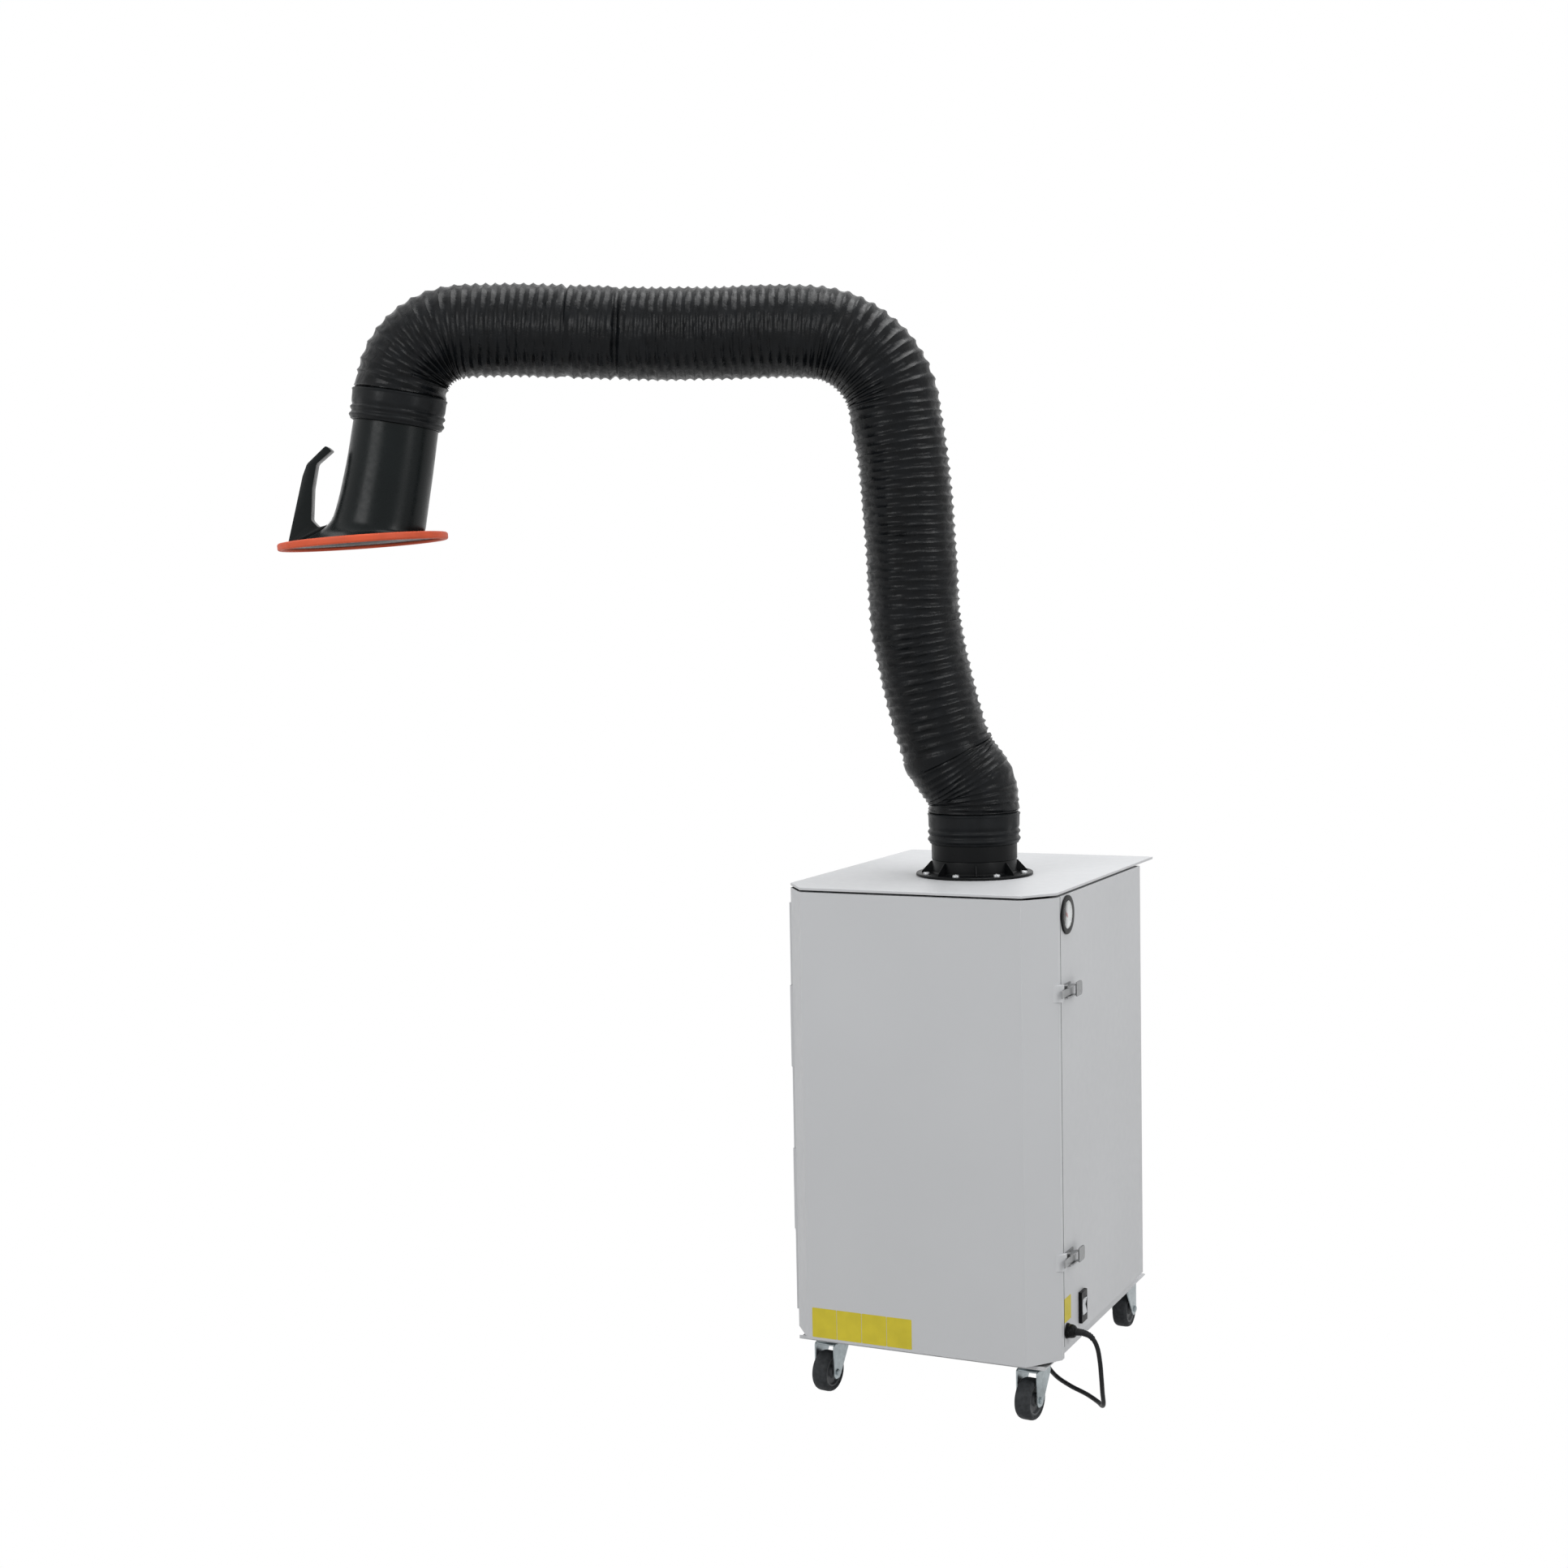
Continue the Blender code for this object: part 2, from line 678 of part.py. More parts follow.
def dust_tray():
    edge = PANEL_INSIDE - TRAY_MARGIN
    low = (-edge, SEAM + TRAY_MARGIN, DECK + SEAT)
    high = (edge, REAR - FLANGE_FOLD - TRAY_MARGIN, DECK + TRAY_HEIGHT)
    tray = block(low, high)
    inside = block(
        (low[0] + SHEET, low[1] + SHEET, low[2] + SHEET),
        (high[0] - SHEET, high[1] - SHEET, high[2] + OVERRUN),
    )
    bore = FILTER_DIAMETER / 2 + FILTER_CAP_LIP + TRAY_CLEARANCE
    middle = Matrix.Translation((0, FAN_OFFSET_Y, DECK))
    collar = turned(ring_profile(bore - OVERRUN, bore + SHEET, SEAT, TRAY_HEIGHT), middle)
    hole = turned(disc_profile(bore, -OVERRUN, TRAY_HEIGHT + OVERRUN), middle)
    return cut(joined(cut(tray, inside), collar), hole)


# Fan

def fan_levels():
    top = DECK - SHEET - SEAT
    return top - FAN_HEIGHT, top


def spiral(wall):
    """The volute's outline about the fan's axis, drawn in by the wall, with its outlet toward the rear."""
    points = []
    for i in range(FAN_SPIRAL_STEPS + 1):
        share = i / FAN_SPIRAL_STEPS
        radius = FAN_RADIUS + FAN_SPREAD * share - wall
        angle = FULL_TURN * share
        points.append((radius * math.cos(angle), FAN_OFFSET_Y + radius * math.sin(angle)))
    rear = REAR + SHEET if not wall else REAR + OVERRUN + SHEET
    outlet = FAN_RADIUS + FAN_SPREAD - wall
    throat = 4 * SHEET if wall else 0
    points += [(outlet, rear), (FAN_RADIUS + wall, rear), (FAN_RADIUS + wall, FAN_OFFSET_Y + throat)]
    if wall:
        points[0] = (FAN_RADIUS - wall, FAN_OFFSET_Y + throat)
    return points if wall else points[:-1]


def fan_outlet(start, end, clearance):
    """The outlet duct's outer shape, with a clearance."""
    low, high = fan_levels()
    outer = FAN_RADIUS + FAN_SPREAD + clearance
    return block((FAN_RADIUS - clearance, start, low - clearance), (outer, end, high + clearance))


def fan_housing():
    low, high = fan_levels()
    shell = prism(spiral(0), low, high)
    hollow = prism(spiral(SHEET), low + SHEET, high - SHEET)
    middle = Matrix.Translation((0, FAN_OFFSET_Y, 0))
    inlet = turned(disc_profile(IMPELLER_EYE, high - 2 * SHEET, high + OVERRUN), middle)
    around_shaft = disc_profile(SHAFT_RADIUS + SHAFT_CLEARANCE, low - OVERRUN, low + 2 * SHEET)
    return cut(shell, hollow, inlet, turned(around_shaft, middle, SMALL_SIDES))


def fan_impeller():
    low, high = fan_levels()
    bottom = low + SHEET + SHAFT_CLEARANCE
    top = bottom + IMPELLER_HEIGHT
    half = BLADE_THICKNESS / 2
    blades = []
    for i in range(IMPELLER_BLADES):
        blade = block((IMPELLER_HUB, -half, bottom), (IMPELLER_RADIUS, half, top))
        blades.append(moved(blade, Matrix.Rotation(FULL_TURN * i / IMPELLER_BLADES, 4, "Z")))
    disc = turned(disc_profile(IMPELLER_RADIUS, bottom, bottom + SHEET))
    mouth = IMPELLER_RADIUS - IMPELLER_HUB
    eye = turned([
        (0, bottom + SHEET), (IMPELLER_HUB, bottom + SHEET), (mouth, top), (mouth, top + OVERRUN),
        (0, top + OVERRUN),
    ])
    hub = turned(disc_profile(IMPELLER_HUB, bottom, bottom + IMPELLER_HEIGHT / 2), None, SMALL_SIDES)
    shaft = turned(disc_profile(SHAFT_RADIUS, low - FAN_SHAFT_DROP, bottom + SHEET), None, SMALL_SIDES)
    wheel = joined(cut(joined(disc, *blades), eye), hub, shaft)
    return moved(wheel, Matrix.Translation((0, FAN_OFFSET_Y, 0)))


def fan_motor():
    low = BASE_TOP + SEAT
    high = fan_levels()[0] - FAN_SHAFT_DROP - SEAT
    points = []
    for i in range(2 * MOTOR_FINS):
        radius = MOTOR_RADIUS if i % 2 else MOTOR_RADIUS - MOTOR_FIN_DEPTH
        angle = math.pi * i / MOTOR_FINS
        points.append((radius * math.cos(angle), radius * math.sin(angle)))
    barrel = prism(points, low + MOTOR_FOOT, high - MOTOR_FOOT)
    cap = turned(disc_profile(MOTOR_RADIUS, high - 2 * MOTOR_FOOT, high))
    foot_top = low + MOTOR_FOOT + OVERRUN
    foot = block((-MOTOR_FOOT_SPREAD, -MOTOR_RADIUS, low), (MOTOR_FOOT_SPREAD, MOTOR_RADIUS, foot_top))
    return moved(joined(barrel, cap, foot), Matrix.Translation((0, FAN_OFFSET_Y, 0)))


def exhaust_box():
    edge = EXHAUST_WIDTH / 2
    front, back = REAR + SEAT, REAR + EXHAUST_DEPTH
    low, high = BASE_TOP + SEAT, BASE_TOP + EXHAUST_HEIGHT
    box = block((-edge, front, low), (edge, back, high))
    inside = block((SHEET - edge, front - OVERRUN, low + SHEET), (edge - SHEET, back - SHEET, high - SHEET))
    slots = []
    for i in range(EXHAUST_SLOTS):
        start = low + EXHAUST_SLOT_RISE + i * EXHAUST_SLOT_PITCH
        slots.append(block(
            (-EXHAUST_SLOT_WIDTH / 2, back - 2 * SHEET, start),
            (EXHAUST_SLOT_WIDTH / 2, back + OVERRUN, start + EXHAUST_SLOT_HEIGHT),
        ))
    return cut(box, inside, *slots)


# Right side: control box, gauge, switch and gland

def control_box():
    high_x = PANEL_INSIDE - SEAT
    start = SEAM + SEAT + SHEET + SEAT
    low = (high_x - CONTROL_WIDTH, start, PANEL_BOTTOM + SHEET + SEAT)
    high = (high_x, start + CONTROL_LENGTH, PANEL_BOTTOM + SHEET + SEAT + CONTROL_HEIGHT)
    box = block(low, high)
    inside = block(
        (low[0] + SHEET, low[1] + SHEET, low[2] + SHEET),
        (high[0] + OVERRUN, high[1] - SHEET, high[2] - SHEET),
    )
    return cut(box, inside)


def gauge_body():
    rim = GAUGE_DIAMETER / 2
    dial = GAUGE_BODY / 2 - GAUGE_RIM / 2
    profile = [
        (0, -GAUGE_DEPTH), (GAUGE_BODY / 2, -GAUGE_DEPTH), (GAUGE_BODY / 2, SEAT), (rim, SEAT),
        (rim, GAUGE_PROUD - SHEET), (rim - SHEET, GAUGE_PROUD), (dial, GAUGE_PROUD),
        (dial, GAUGE_PROUD - GAUGE_DIAL_DROP), (0, GAUGE_PROUD - GAUGE_DIAL_DROP),
    ]
    return moved(turned(profile), gauge_place())


def gauge_lens():
    dial = GAUGE_BODY / 2 - GAUGE_RIM / 2 - SEAT
    top = GAUGE_PROUD - SEAT
    return moved(turned(disc_profile(dial, top - GAUGE_LENS, top)), gauge_place())


def gauge_needle():
    low = GAUGE_PROUD - GAUGE_DIAL_DROP + NEEDLE_LIFT
    high = low + NEEDLE_THICKNESS
    half = NEEDLE_WIDTH / 2
    tip = half / 2
    outline = [(-half, -NEEDLE_TAIL), (half, -NEEDLE_TAIL), (tip, NEEDLE_LENGTH), (-tip, NEEDLE_LENGTH)]
    hub = turned(disc_profile(NEEDLE_HUB, low, high), None, SMALL_SIDES)
    needle = moved(joined(prism(outline, low, high), hub), Matrix.Rotation(NEEDLE_REST, 4, "Z"))
    return moved(needle, gauge_place())


def switch_housing():
    half = (SWITCH_WIDTH / 2, SWITCH_HEIGHT / 2)
    frame = block((-half[0], -half[1], SEAT), (half[0], half[1], SWITCH_PROUD))
    body_half = (half[0] - SWITCH_WALL, half[1] - SWITCH_WALL)
    body = block((-body_half[0], -body_half[1], -SWITCH_DEPTH), (*body_half, SWITCH_PROUD / 2))
    well_half = (body_half[0] - SHEET, SWITCH_HEIGHT * ROCKER_SHARE / 2 + RUNNING_GAP)
    well = block((-well_half[0], -well_half[1], -SWITCH_DEPTH / 2), (*well_half, SWITCH_PROUD + OVERRUN))
    return moved(cut(joined(frame, body), well), switch_place())


def switch_rocker():
    half = SWITCH_HEIGHT * ROCKER_SHARE / 2 - RUNNING_GAP
    width = SWITCH_WIDTH / 2 - SWITCH_WALL - SHEET - SEAT
    top = SWITCH_PROUD + ROCKER_STANDOFF * math.tan(ROCKER_TILT)
    rise = half * math.tan(ROCKER_TILT)
    crest = top + rise - ROCKER_PIN
    outline = [
        (-half, -ROCKER_STANDOFF), (0, -2 * ROCKER_STANDOFF), (half, -ROCKER_STANDOFF), (half, crest),
        (0, top - rise), (-half, crest),
    ]
    turn = Matrix(((0, 0, 1, 0), (1, 0, 0, 0), (0, 1, 0, 0), (0, 0, 0, 1)))
    rocker = moved(prism(outline, -width, width), turn)
    return moved(rocker, switch_place())


def cord_gland():
    back = -SHEET - GLAND_NUT - SEAT
    profile = [
        (0, back), (GLAND_THREAD / 2, back), (GLAND_THREAD / 2, SEAT), (GLAND_DIAMETER / 2, SEAT),
        (GLAND_DIAMETER / 2, GLAND_PROUD / 2), (GLAND_MOUTH / 2, GLAND_PROUD), (0, GLAND_PROUD),
    ]
    return moved(turned(profile, None, SMALL_SIDES), gland_place())


# Door, hinge and latches

def chamfer_x(y):
    """Half the door's outer width at a place along its depth."""
    share = max(0, (SEAM - DOOR_RETURN - y) / CHAMFER_Y)
    return HALF_WIDTH - share * CHAMFER_X


def keeper(rise):
    top = HALF_WIDTH + KEEPER_PROUD
    start = SEAM - SHEET
    end = SEAM - DOOR_RETURN - KEEPER_LENGTH
    sunk = SHEET / 2
    bend = SEAM - DOOR_RETURN
    outline = [
        (HALF_WIDTH - sunk, start), (top, start), (top, bend + sunk), (chamfer_x(end) - sunk, end),
        (chamfer_x(bend) - sunk, bend),
    ]
    return prism(outline, BASE + rise - KEEPER_HEIGHT / 2, BASE + rise + KEEPER_HEIGHT / 2)


def hinge_span(fixed):
    """Heights of the hinge's knuckles that belong to the cabinet, or to the door."""
    low, high = DOOR_BOTTOM + HINGE_END_GAP, PANEL_TOP - HINGE_END_GAP
    low = max(low, PANEL_BOTTOM + SHEET)
    step = (high - low) / HINGE_KNUCKLES
    first = 0 if fixed else 1
    return [(low + i * step, low + (i + 1) * step) for i in range(first, HINGE_KNUCKLES, 2)]


def hinge_axis():
    return -HALF_WIDTH - SEAT - HINGE_RADIUS, SEAM


def door_knuckles():
    x, y = hinge_axis()
    axis = Matrix.Translation((x, y, 0))
    shapes = []
    for low, high in hinge_span(False):
        low, high = low + RUNNING_GAP, high - RUNNING_GAP
        leaf = block((x, y - HINGE_LEAF, low), (-HALF_WIDTH + SHEET / 2, y - HINGE_RADIUS, high))
        arm = block((x - HINGE_RADIUS + SHEET / 2, y - HINGE_RADIUS - SHEET, low), (x + SHEET, y, high))
        shapes += [leaf, arm, turned(disc_profile(HINGE_RADIUS, low, high), axis, SMALL_SIDES)]
    return shapes


def door_hinge():
    """The fixed knuckles and their pin, turned as one piece, with a leaf to the panel on each knuckle."""
    x, y = hinge_axis()
    spans = hinge_span(True)
    profile = [(0, spans[0][0])]
    leaves = []
    for low, high in spans:
        if leaves:
            profile.append((HINGE_PIN, low))
        profile += [(HINGE_RADIUS, low), (HINGE_RADIUS, high)]
        if high < spans[-1][1]:
            profile.append((HINGE_PIN, high))
        leaf_low = (x - HINGE_PIN / 2, y - HINGE_PIN / 3, low + RUNNING_GAP)
        leaves.append(block(leaf_low, (-HALF_WIDTH - SEAT, y + HINGE_LEAF, high - RUNNING_GAP)))
    profile.append((0, spans[-1][1]))
    return joined(turned(profile, Matrix.Translation((x, y, 0)), SMALL_SIDES), *leaves)


def door():
    wall = prism(folded(door_line(), SHEET), DOOR_BOTTOM, PANEL_TOP)
    inset = SHEET / 2
    near = HALF_WIDTH - CHAMFER_X - inset
    far = near + FLANGE_FOLD * CHAMFER_X / CHAMFER_Y
    back = FRONT + FLANGE_FOLD
    plan = [(-near, FRONT + inset), (near, FRONT + inset), (far, back), (-far, back)]
    folds = [prism(plan, DOOR_BOTTOM, DOOR_BOTTOM + SHEET), prism(plan, PANEL_TOP - SHEET, PANEL_TOP)]
    keepers = [keeper(rise) for rise in LATCHES.values()]
    shell = joined(wall, *folds, *keepers, *door_knuckles())
    x, y = hinge_axis()
    bore = rod((x, y, BASE), (x, y, TOP), HINGE_PIN + SEAT)
    return cut(shell, bore)


def door_gasket():
    edge = PANEL_INSIDE - SEAT
    low = DOOR_BOTTOM + SHEET + SEAT
    high = PANEL_TOP - SHEET - SEAT
    start, end = SEAM - GASKET_WIDTH + SEAT, SEAM
    ring = block((-edge, start, low), (edge, end, high))
    inner = edge - GASKET_WIDTH
    gap_low = (-inner, start - OVERRUN, low + GASKET_WIDTH)
    return cut(ring, block(gap_low, (inner, end + OVERRUN, high - GASKET_WIDTH)))


def latch_place(rise):
    """The latch's own place: X out of the panel, Y toward the rear from the seam, Z up."""
    return Matrix.Translation((HALF_WIDTH + SEAT, SEAM, BASE + rise))


def latch_base(rise):
    half = LATCH_WIDTH / 2
    start = LATCH_BASE_START
    plate = block((0, start, -half), (LATCH_BASE_SHEET, start + LATCH_BASE_LENGTH, half))
    inner = half - LATCH_EAR
    shapes = []
    x, y = LATCH_PIVOT_RISE, LATCH_PIVOT_BACK
    root, crest, flat = LATCH_BASE_SHEET / 2, x + LATCH_KNUCKLE, LATCH_KNUCKLE / 2
    outline = [(root, start), (crest, y - flat), (crest, y + flat), (root, y + x + LATCH_KNUCKLE)]
    for side in (-1, 1):
        low, high = sorted((side * inner, side * half))
        shapes.append(prism(outline, low, high))
    pin = rod((x, y, -half + SEAT), (x, y, half - SEAT), LATCH_PIN)
    return moved(joined(plate, *shapes, pin), latch_place(rise))


def latch_lever(rise):
    half = LATCH_WIDTH / 2
    outer = half - LATCH_EAR - SEAT
    inner = outer - LATCH_CHEEK
    x, y = LATCH_PIVOT_RISE, LATCH_PIVOT_BACK
    top = x + LATCH_LEVER_RISE - LATCH_LEVER_SHEET
    under, cheek_end = x - LATCH_KNUCKLE / 2, y + LATCH_WEB_START + LATCH_KNUCKLE
    cheek = [
        (under, y - LATCH_KNUCKLE), (x + LATCH_KNUCKLE, y - LATCH_KNUCKLE), (top, y + LATCH_KNUCKLE),
        (top, cheek_end), (top - LATCH_KNUCKLE, cheek_end), (under, y + LATCH_HOOK_BACK + LATCH_KNUCKLE),
    ]
    shapes = []
    for side in (-1, 1):
        low, high = sorted((side * inner, side * outer))
        shapes.append(prism(cheek, low, high))
    web_start = y + LATCH_WEB_START
    end = y + LATCH_LEVER_LENGTH
    radius = half / 2
    far, wide = end - radius, half - radius
    web = [(web_start, -outer), (web_start + LATCH_KNUCKLE, -half)]
    web += [(far + radius * math.sin(a), -wide - radius * math.cos(a)) for a in quarter_angles()]
    web += [(far + radius * math.cos(a), wide + radius * math.sin(a)) for a in quarter_angles()]
    web += [(web_start + LATCH_KNUCKLE, half), (web_start, outer)]
    plate = prism(web, top - SEAT, top + LATCH_LEVER_SHEET, "YZ")
    hook_x, hook_y = x + LATCH_HOOK_RISE, y + LATCH_HOOK_BACK
    pin = rod((hook_x, hook_y, -outer + SEAT), (hook_x, hook_y, outer - SEAT), LATCH_PIN)
    bore = rod((x, y, -half), (x, y, half), LATCH_PIN_BORE)
    return moved(cut(joined(plate, *shapes, pin), bore), latch_place(rise))


def quarter_angles():
    steps = 4
    return [math.pi / 2 * i / steps for i in range(steps + 1)]


def latch_hook(rise):
    half = LATCH_HOOK_WIDTH / 2
    x, y = LATCH_PIVOT_RISE + LATCH_HOOK_RISE, LATCH_PIVOT_BACK + LATCH_HOOK_BACK
    low = x - LATCH_HOOK_SHEET / 2
    plate = block((low, y - LATCH_HOOK_LENGTH, -half), (low + LATCH_HOOK_SHEET, y, half))
    knuckle = rod((x, y, -half), (x, y, half), LATCH_KNUCKLE)
    bore = rod((x, y, -half - OVERRUN), (x, y, half + OVERRUN), LATCH_PIN_BORE)
    return moved(cut(joined(plate, knuckle), bore), latch_place(rise))


# Casters

def caster_places():
    """Each caster's name and its own place: the swivel axis on the floor, +Y the way it trails."""
    places = {}
    for end, y, turn in (("front", -CASTER_FRONT_Y, math.pi - CASTER_FRONT_TURN), ("rear", CASTER_REAR_Y, 0)):
        for side, x in (("left", -CASTER_X), ("right", CASTER_X)):
            places[f"{end}_{side}"] = Matrix.Translation((x, y, 0)) @ Matrix.Rotation(turn, 4, "Z")
    return places


def plate_levels():
    high = CASTER_HEIGHT - SEAT
    return high - HEAVY_SHEET, high


def caster_plate(place):
    low, high = plate_levels()
    half = (CASTER_PLATE_X / 2, CASTER_PLATE_Y / 2)
    plate = block((-half[0], -half[1], low), (half[0], half[1], high))
    heads = []
    profile = disc_profile(CASTER_BOLT, low - CASTER_BOLT_HEAD, high - SEAT)
    for x in (-half[0] + CASTER_BOLT_INSET, half[0] - CASTER_BOLT_INSET):
        for y in (-half[1] + CASTER_BOLT_INSET, half[1] - CASTER_BOLT_INSET):
            heads.append(turned(profile, Matrix.Translation((x, y, 0)), BOLT_SIDES))
    return moved(joined(plate, *heads), Matrix.Translation(place.translation))


def crown_level():
    return CASTER_HEIGHT - FORK_CROWN_DROP


def axle_height():
    return WHEEL_RADIUS


def caster_fork(place):
    crown = crown_level()
    half = FORK_WIDTH / 2
    back = CASTER_TRAIL + FORK_EDGE
    front = back - FORK_EAR_LENGTH
    axle = axle_height()
    ear = [
        (front, crown), (front, crown - FORK_NOSE_DROP), (CASTER_TRAIL - FORK_EDGE, axle - FORK_EDGE / 2),
        (CASTER_TRAIL - FORK_EDGE / 2, axle - FORK_EDGE), (CASTER_TRAIL + FORK_EDGE / 2, axle - FORK_EDGE),
        (back, axle - FORK_EDGE / 2), (back, crown),
    ]
    shapes = [prism(ear, side * half, side * (half - FORK_SHEET), "YZ") for side in (-1, 1)]
    shapes.append(turned(
        disc_profile(FORK_STEM, crown - FORK_SHEET, plate_levels()[0] - SEAT), None, SMALL_SIDES,
    ))
    reach = half + AXLE_NUT_HEIGHT
    shapes.append(rod((-reach, CASTER_TRAIL, axle), (reach, CASTER_TRAIL, axle), AXLE_RADIUS, SMALL_SIDES))
    for side in (-1, 1):
        ends = ((side * (half - SEAT), CASTER_TRAIL, axle), (side * reach, CASTER_TRAIL, axle))
        shapes.append(rod(*ends, AXLE_NUT, BOLT_SIDES))
    top = block((-half, front, crown - FORK_SHEET), (half, back, crown))
    return moved(joined(top, *shapes), place)


def caster_wheel(place):
    half = WHEEL_WIDTH / 2
    tread = WHEEL_RADIUS / math.cos(math.pi / WHEEL_SIDES)
    hub = WHEEL_RADIUS - WHEEL_TYRE
    bore = AXLE_RADIUS + SEAT
    shoulder_radius, inner = tread - WHEEL_HUB_STEP, half - WHEEL_HUB_STEP
    profile = [
        (bore, -half), (hub, -inner), (shoulder_radius, -half), (tread, -inner),
        (tread, inner), (shoulder_radius, half), (hub, inner), (bore, half),
    ]
    axle = Matrix.Translation((0, CASTER_TRAIL, axle_height())) @ Matrix.Rotation(math.pi / 2, 4, "Y")
    return moved(turned(profile, None, WHEEL_SIDES, math.pi / WHEEL_SIDES), place @ axle)


def pedal_axis():
    back = CASTER_TRAIL + FORK_EDGE - PEDAL_PIN_BACK
    return back, crown_level() - FORK_SHEET - SEAT - PEDAL_PIN


def brake_pedal(place):
    y, z = pedal_axis()
    half = FORK_WIDTH / 2 - FORK_SHEET - SEAT
    pin = rod((-half, y, z), (half, y, z), PEDAL_PIN, SMALL_SIDES)
    plate = block((-half, y, z - PEDAL_SHEET / 2), (half, y + PEDAL_LENGTH, z + PEDAL_SHEET / 2))
    end = y + PEDAL_LENGTH
    toe = block((-half, end - PEDAL_SHEET, z - PEDAL_SHEET / 2), (half, end, z + 2 * PEDAL_SHEET))
    return moved(joined(plate, pin, toe), place)


# Arm: places and the hose's middle line

def arm_place():
    """X along the arm, Y across it and Z up, from the flange's axis on the floor."""
    return Matrix.Translation((ARM_X, ARM_Y, 0)) @ Matrix.Rotation(ARM_AZIMUTH, 4, "Z")


def shoulder():
    return Vector((0, TOP + SHOULDER_RISE))


def elbow():
    return shoulder() + Vector((LOWER_REACH, LOWER_RISE))


def wrist():
    return elbow() + Vector((UPPER_REACH, UPPER_RISE))


def hood_axis():
    return wrist() + Vector((HOOD_CUFF_REACH, -HOOD_CUFF_DROP))


def pivot_place(pivot):
    return arm_place() @ Matrix.Translation((pivot.x, 0, pivot.y))


def hood_place():
    """Z up the hood's pipe, X outward, from the lower end of the hose cuff."""
    return pivot_place(hood_axis()) @ Matrix.Rotation(-HOOD_TILT, 4, "Y")


def cuff_top():
    return TOP + CUFF_LOW + CUFF_HEIGHT


def bend_points(centre, radius, start, end, shares):
    """Points on a bend, from its end at share zero to its start at share one."""
    angles = [end + (start - end) * share for share in shares]
    return [centre + radius * Vector((math.cos(a), math.sin(a))) for a in angles]


def hose_guides():
    """The points that the hose's middle line passes, from the base cuff to the hood's cuff."""
    low = Vector((0, cuff_top() + HOSE_JOINT_GAP))
    step = Vector((0, HOSE_STRAIGHT))
    centre = low + 2 * step + Vector((BASE_BEND, 0))
    guides = [low, low + step, low + 2 * step]
    guides += bend_points(centre, BASE_BEND, math.pi - BASE_LEAN, math.pi, BASE_LEAN_SHARES)
    for reach, rise in LOWER_HOSE_SHARES:
        guides.append(shoulder() + Vector((reach * LOWER_REACH, rise * LOWER_RISE)))
    centre = elbow() + Vector(ELBOW_CENTRE_SHARES) * ELBOW_BEND
    guides += bend_points(centre, ELBOW_BEND, math.pi, math.pi / 2, ELBOW_ARC_SHARES)
    for reach, rise in UPPER_HOSE_SHARES:
        guides.append(elbow() + Vector((reach * UPPER_REACH, rise * HOSE_DIAMETER / 2)))
    down = Vector((math.sin(HOOD_TILT), -math.cos(HOOD_TILT)))
    end = hood_axis() - down * (HOOD_CUFF_HEIGHT + HOSE_JOINT_GAP)
    last = end - down * 2 * HOSE_STRAIGHT
    radius = (guides[-1].y - last.y) / (1 - math.sin(HOOD_TILT))
    centre = last - radius * Vector((math.cos(HOOD_TILT), math.sin(HOOD_TILT)))
    guides += bend_points(centre, radius, math.pi / 2, HOOD_TILT, WRIST_ARC_SHARES)
    return [*guides, end - down * HOSE_STRAIGHT, end]


def smooth_line(guides, steps=8):
    """A smooth line through points, as many short steps."""
    slopes = []
    last = len(guides) - 1
    for i, point in enumerate(guides):
        before, after = guides[max(i - 1, 0)], guides[min(i + 1, last)]
        slopes.append((after - before).normalized())
    line = [guides[0]]
    for i in range(last):
        start, end = guides[i], guides[i + 1]
        reach = (end - start).length
        for step in range(1, steps + 1):
            t = step / steps
            bend = (2 * t ** 3 - 3 * t ** 2 + 1) * start + (3 * t ** 2 - 2 * t ** 3) * end
            bend += (t ** 3 - 2 * t ** 2 + t) * reach * slopes[i] + (t ** 3 - t ** 2) * reach * slopes[i + 1]
            line.append(bend)
    return line


class Line:
    """A line with its running length, read at any length."""

    def __init__(self, points):
        self.points = points
        self.lengths = [0.0]
        for before, after in zip(points, points[1:]):
            self.lengths.append(self.lengths[-1] + (after - before).length)
        self.length = self.lengths[-1]

    def segment(self, length):
        for i, reached in enumerate(self.lengths[1:]):
            if reached >= length:
                return i
        return len(self.lengths) - 2

    def at(self, length):
        i = self.segment(length)
        span = self.lengths[i + 1] - self.lengths[i]
        return self.points[i].lerp(self.points[i + 1], (length - self.lengths[i]) / span)

    def heading(self, length):
        reach = HOSE_STRAIGHT / 2
        start, end = max(length - reach, 0.0), min(length + reach, self.length)
        return (self.at(end) - self.at(start)).normalized()

    def nearest(self, point):
        gaps = [(place - point).length for place in self.points]
        return self.lengths[gaps.index(min(gaps))]


HOSE_LINE = Line(smooth_line(hose_guides()))


def hose_breaks():
    """Lengths along the hose where one stretch ends and the next begins."""
    at_elbow, at_wrist = HOSE_LINE.nearest(elbow()), HOSE_LINE.nearest(wrist())
    return [
        0.0, SHOULDER_HOSE_LENGTH, at_elbow - ELBOW_HOSE_BEFORE, at_elbow + ELBOW_HOSE_AFTER,
        at_wrist - WRIST_HOSE_BEFORE, HOSE_LINE.length,
    ]


def hose_ring(length, radius):
    """A ring round the hose's middle line, about the cabinet's middle."""
    middle, along = HOSE_LINE.at(length), HOSE_LINE.heading(length)
    across = Vector((along.y, -along.x))
    place = arm_place()
    ring = []
    for i in range(HOSE_SIDES):
        angle = FULL_TURN * (i + 0.5) / HOSE_SIDES
        offset = middle + across * radius * math.cos(angle)
        ring.append(place @ Vector((offset.x, radius * math.sin(angle), offset.y)))
    return ring


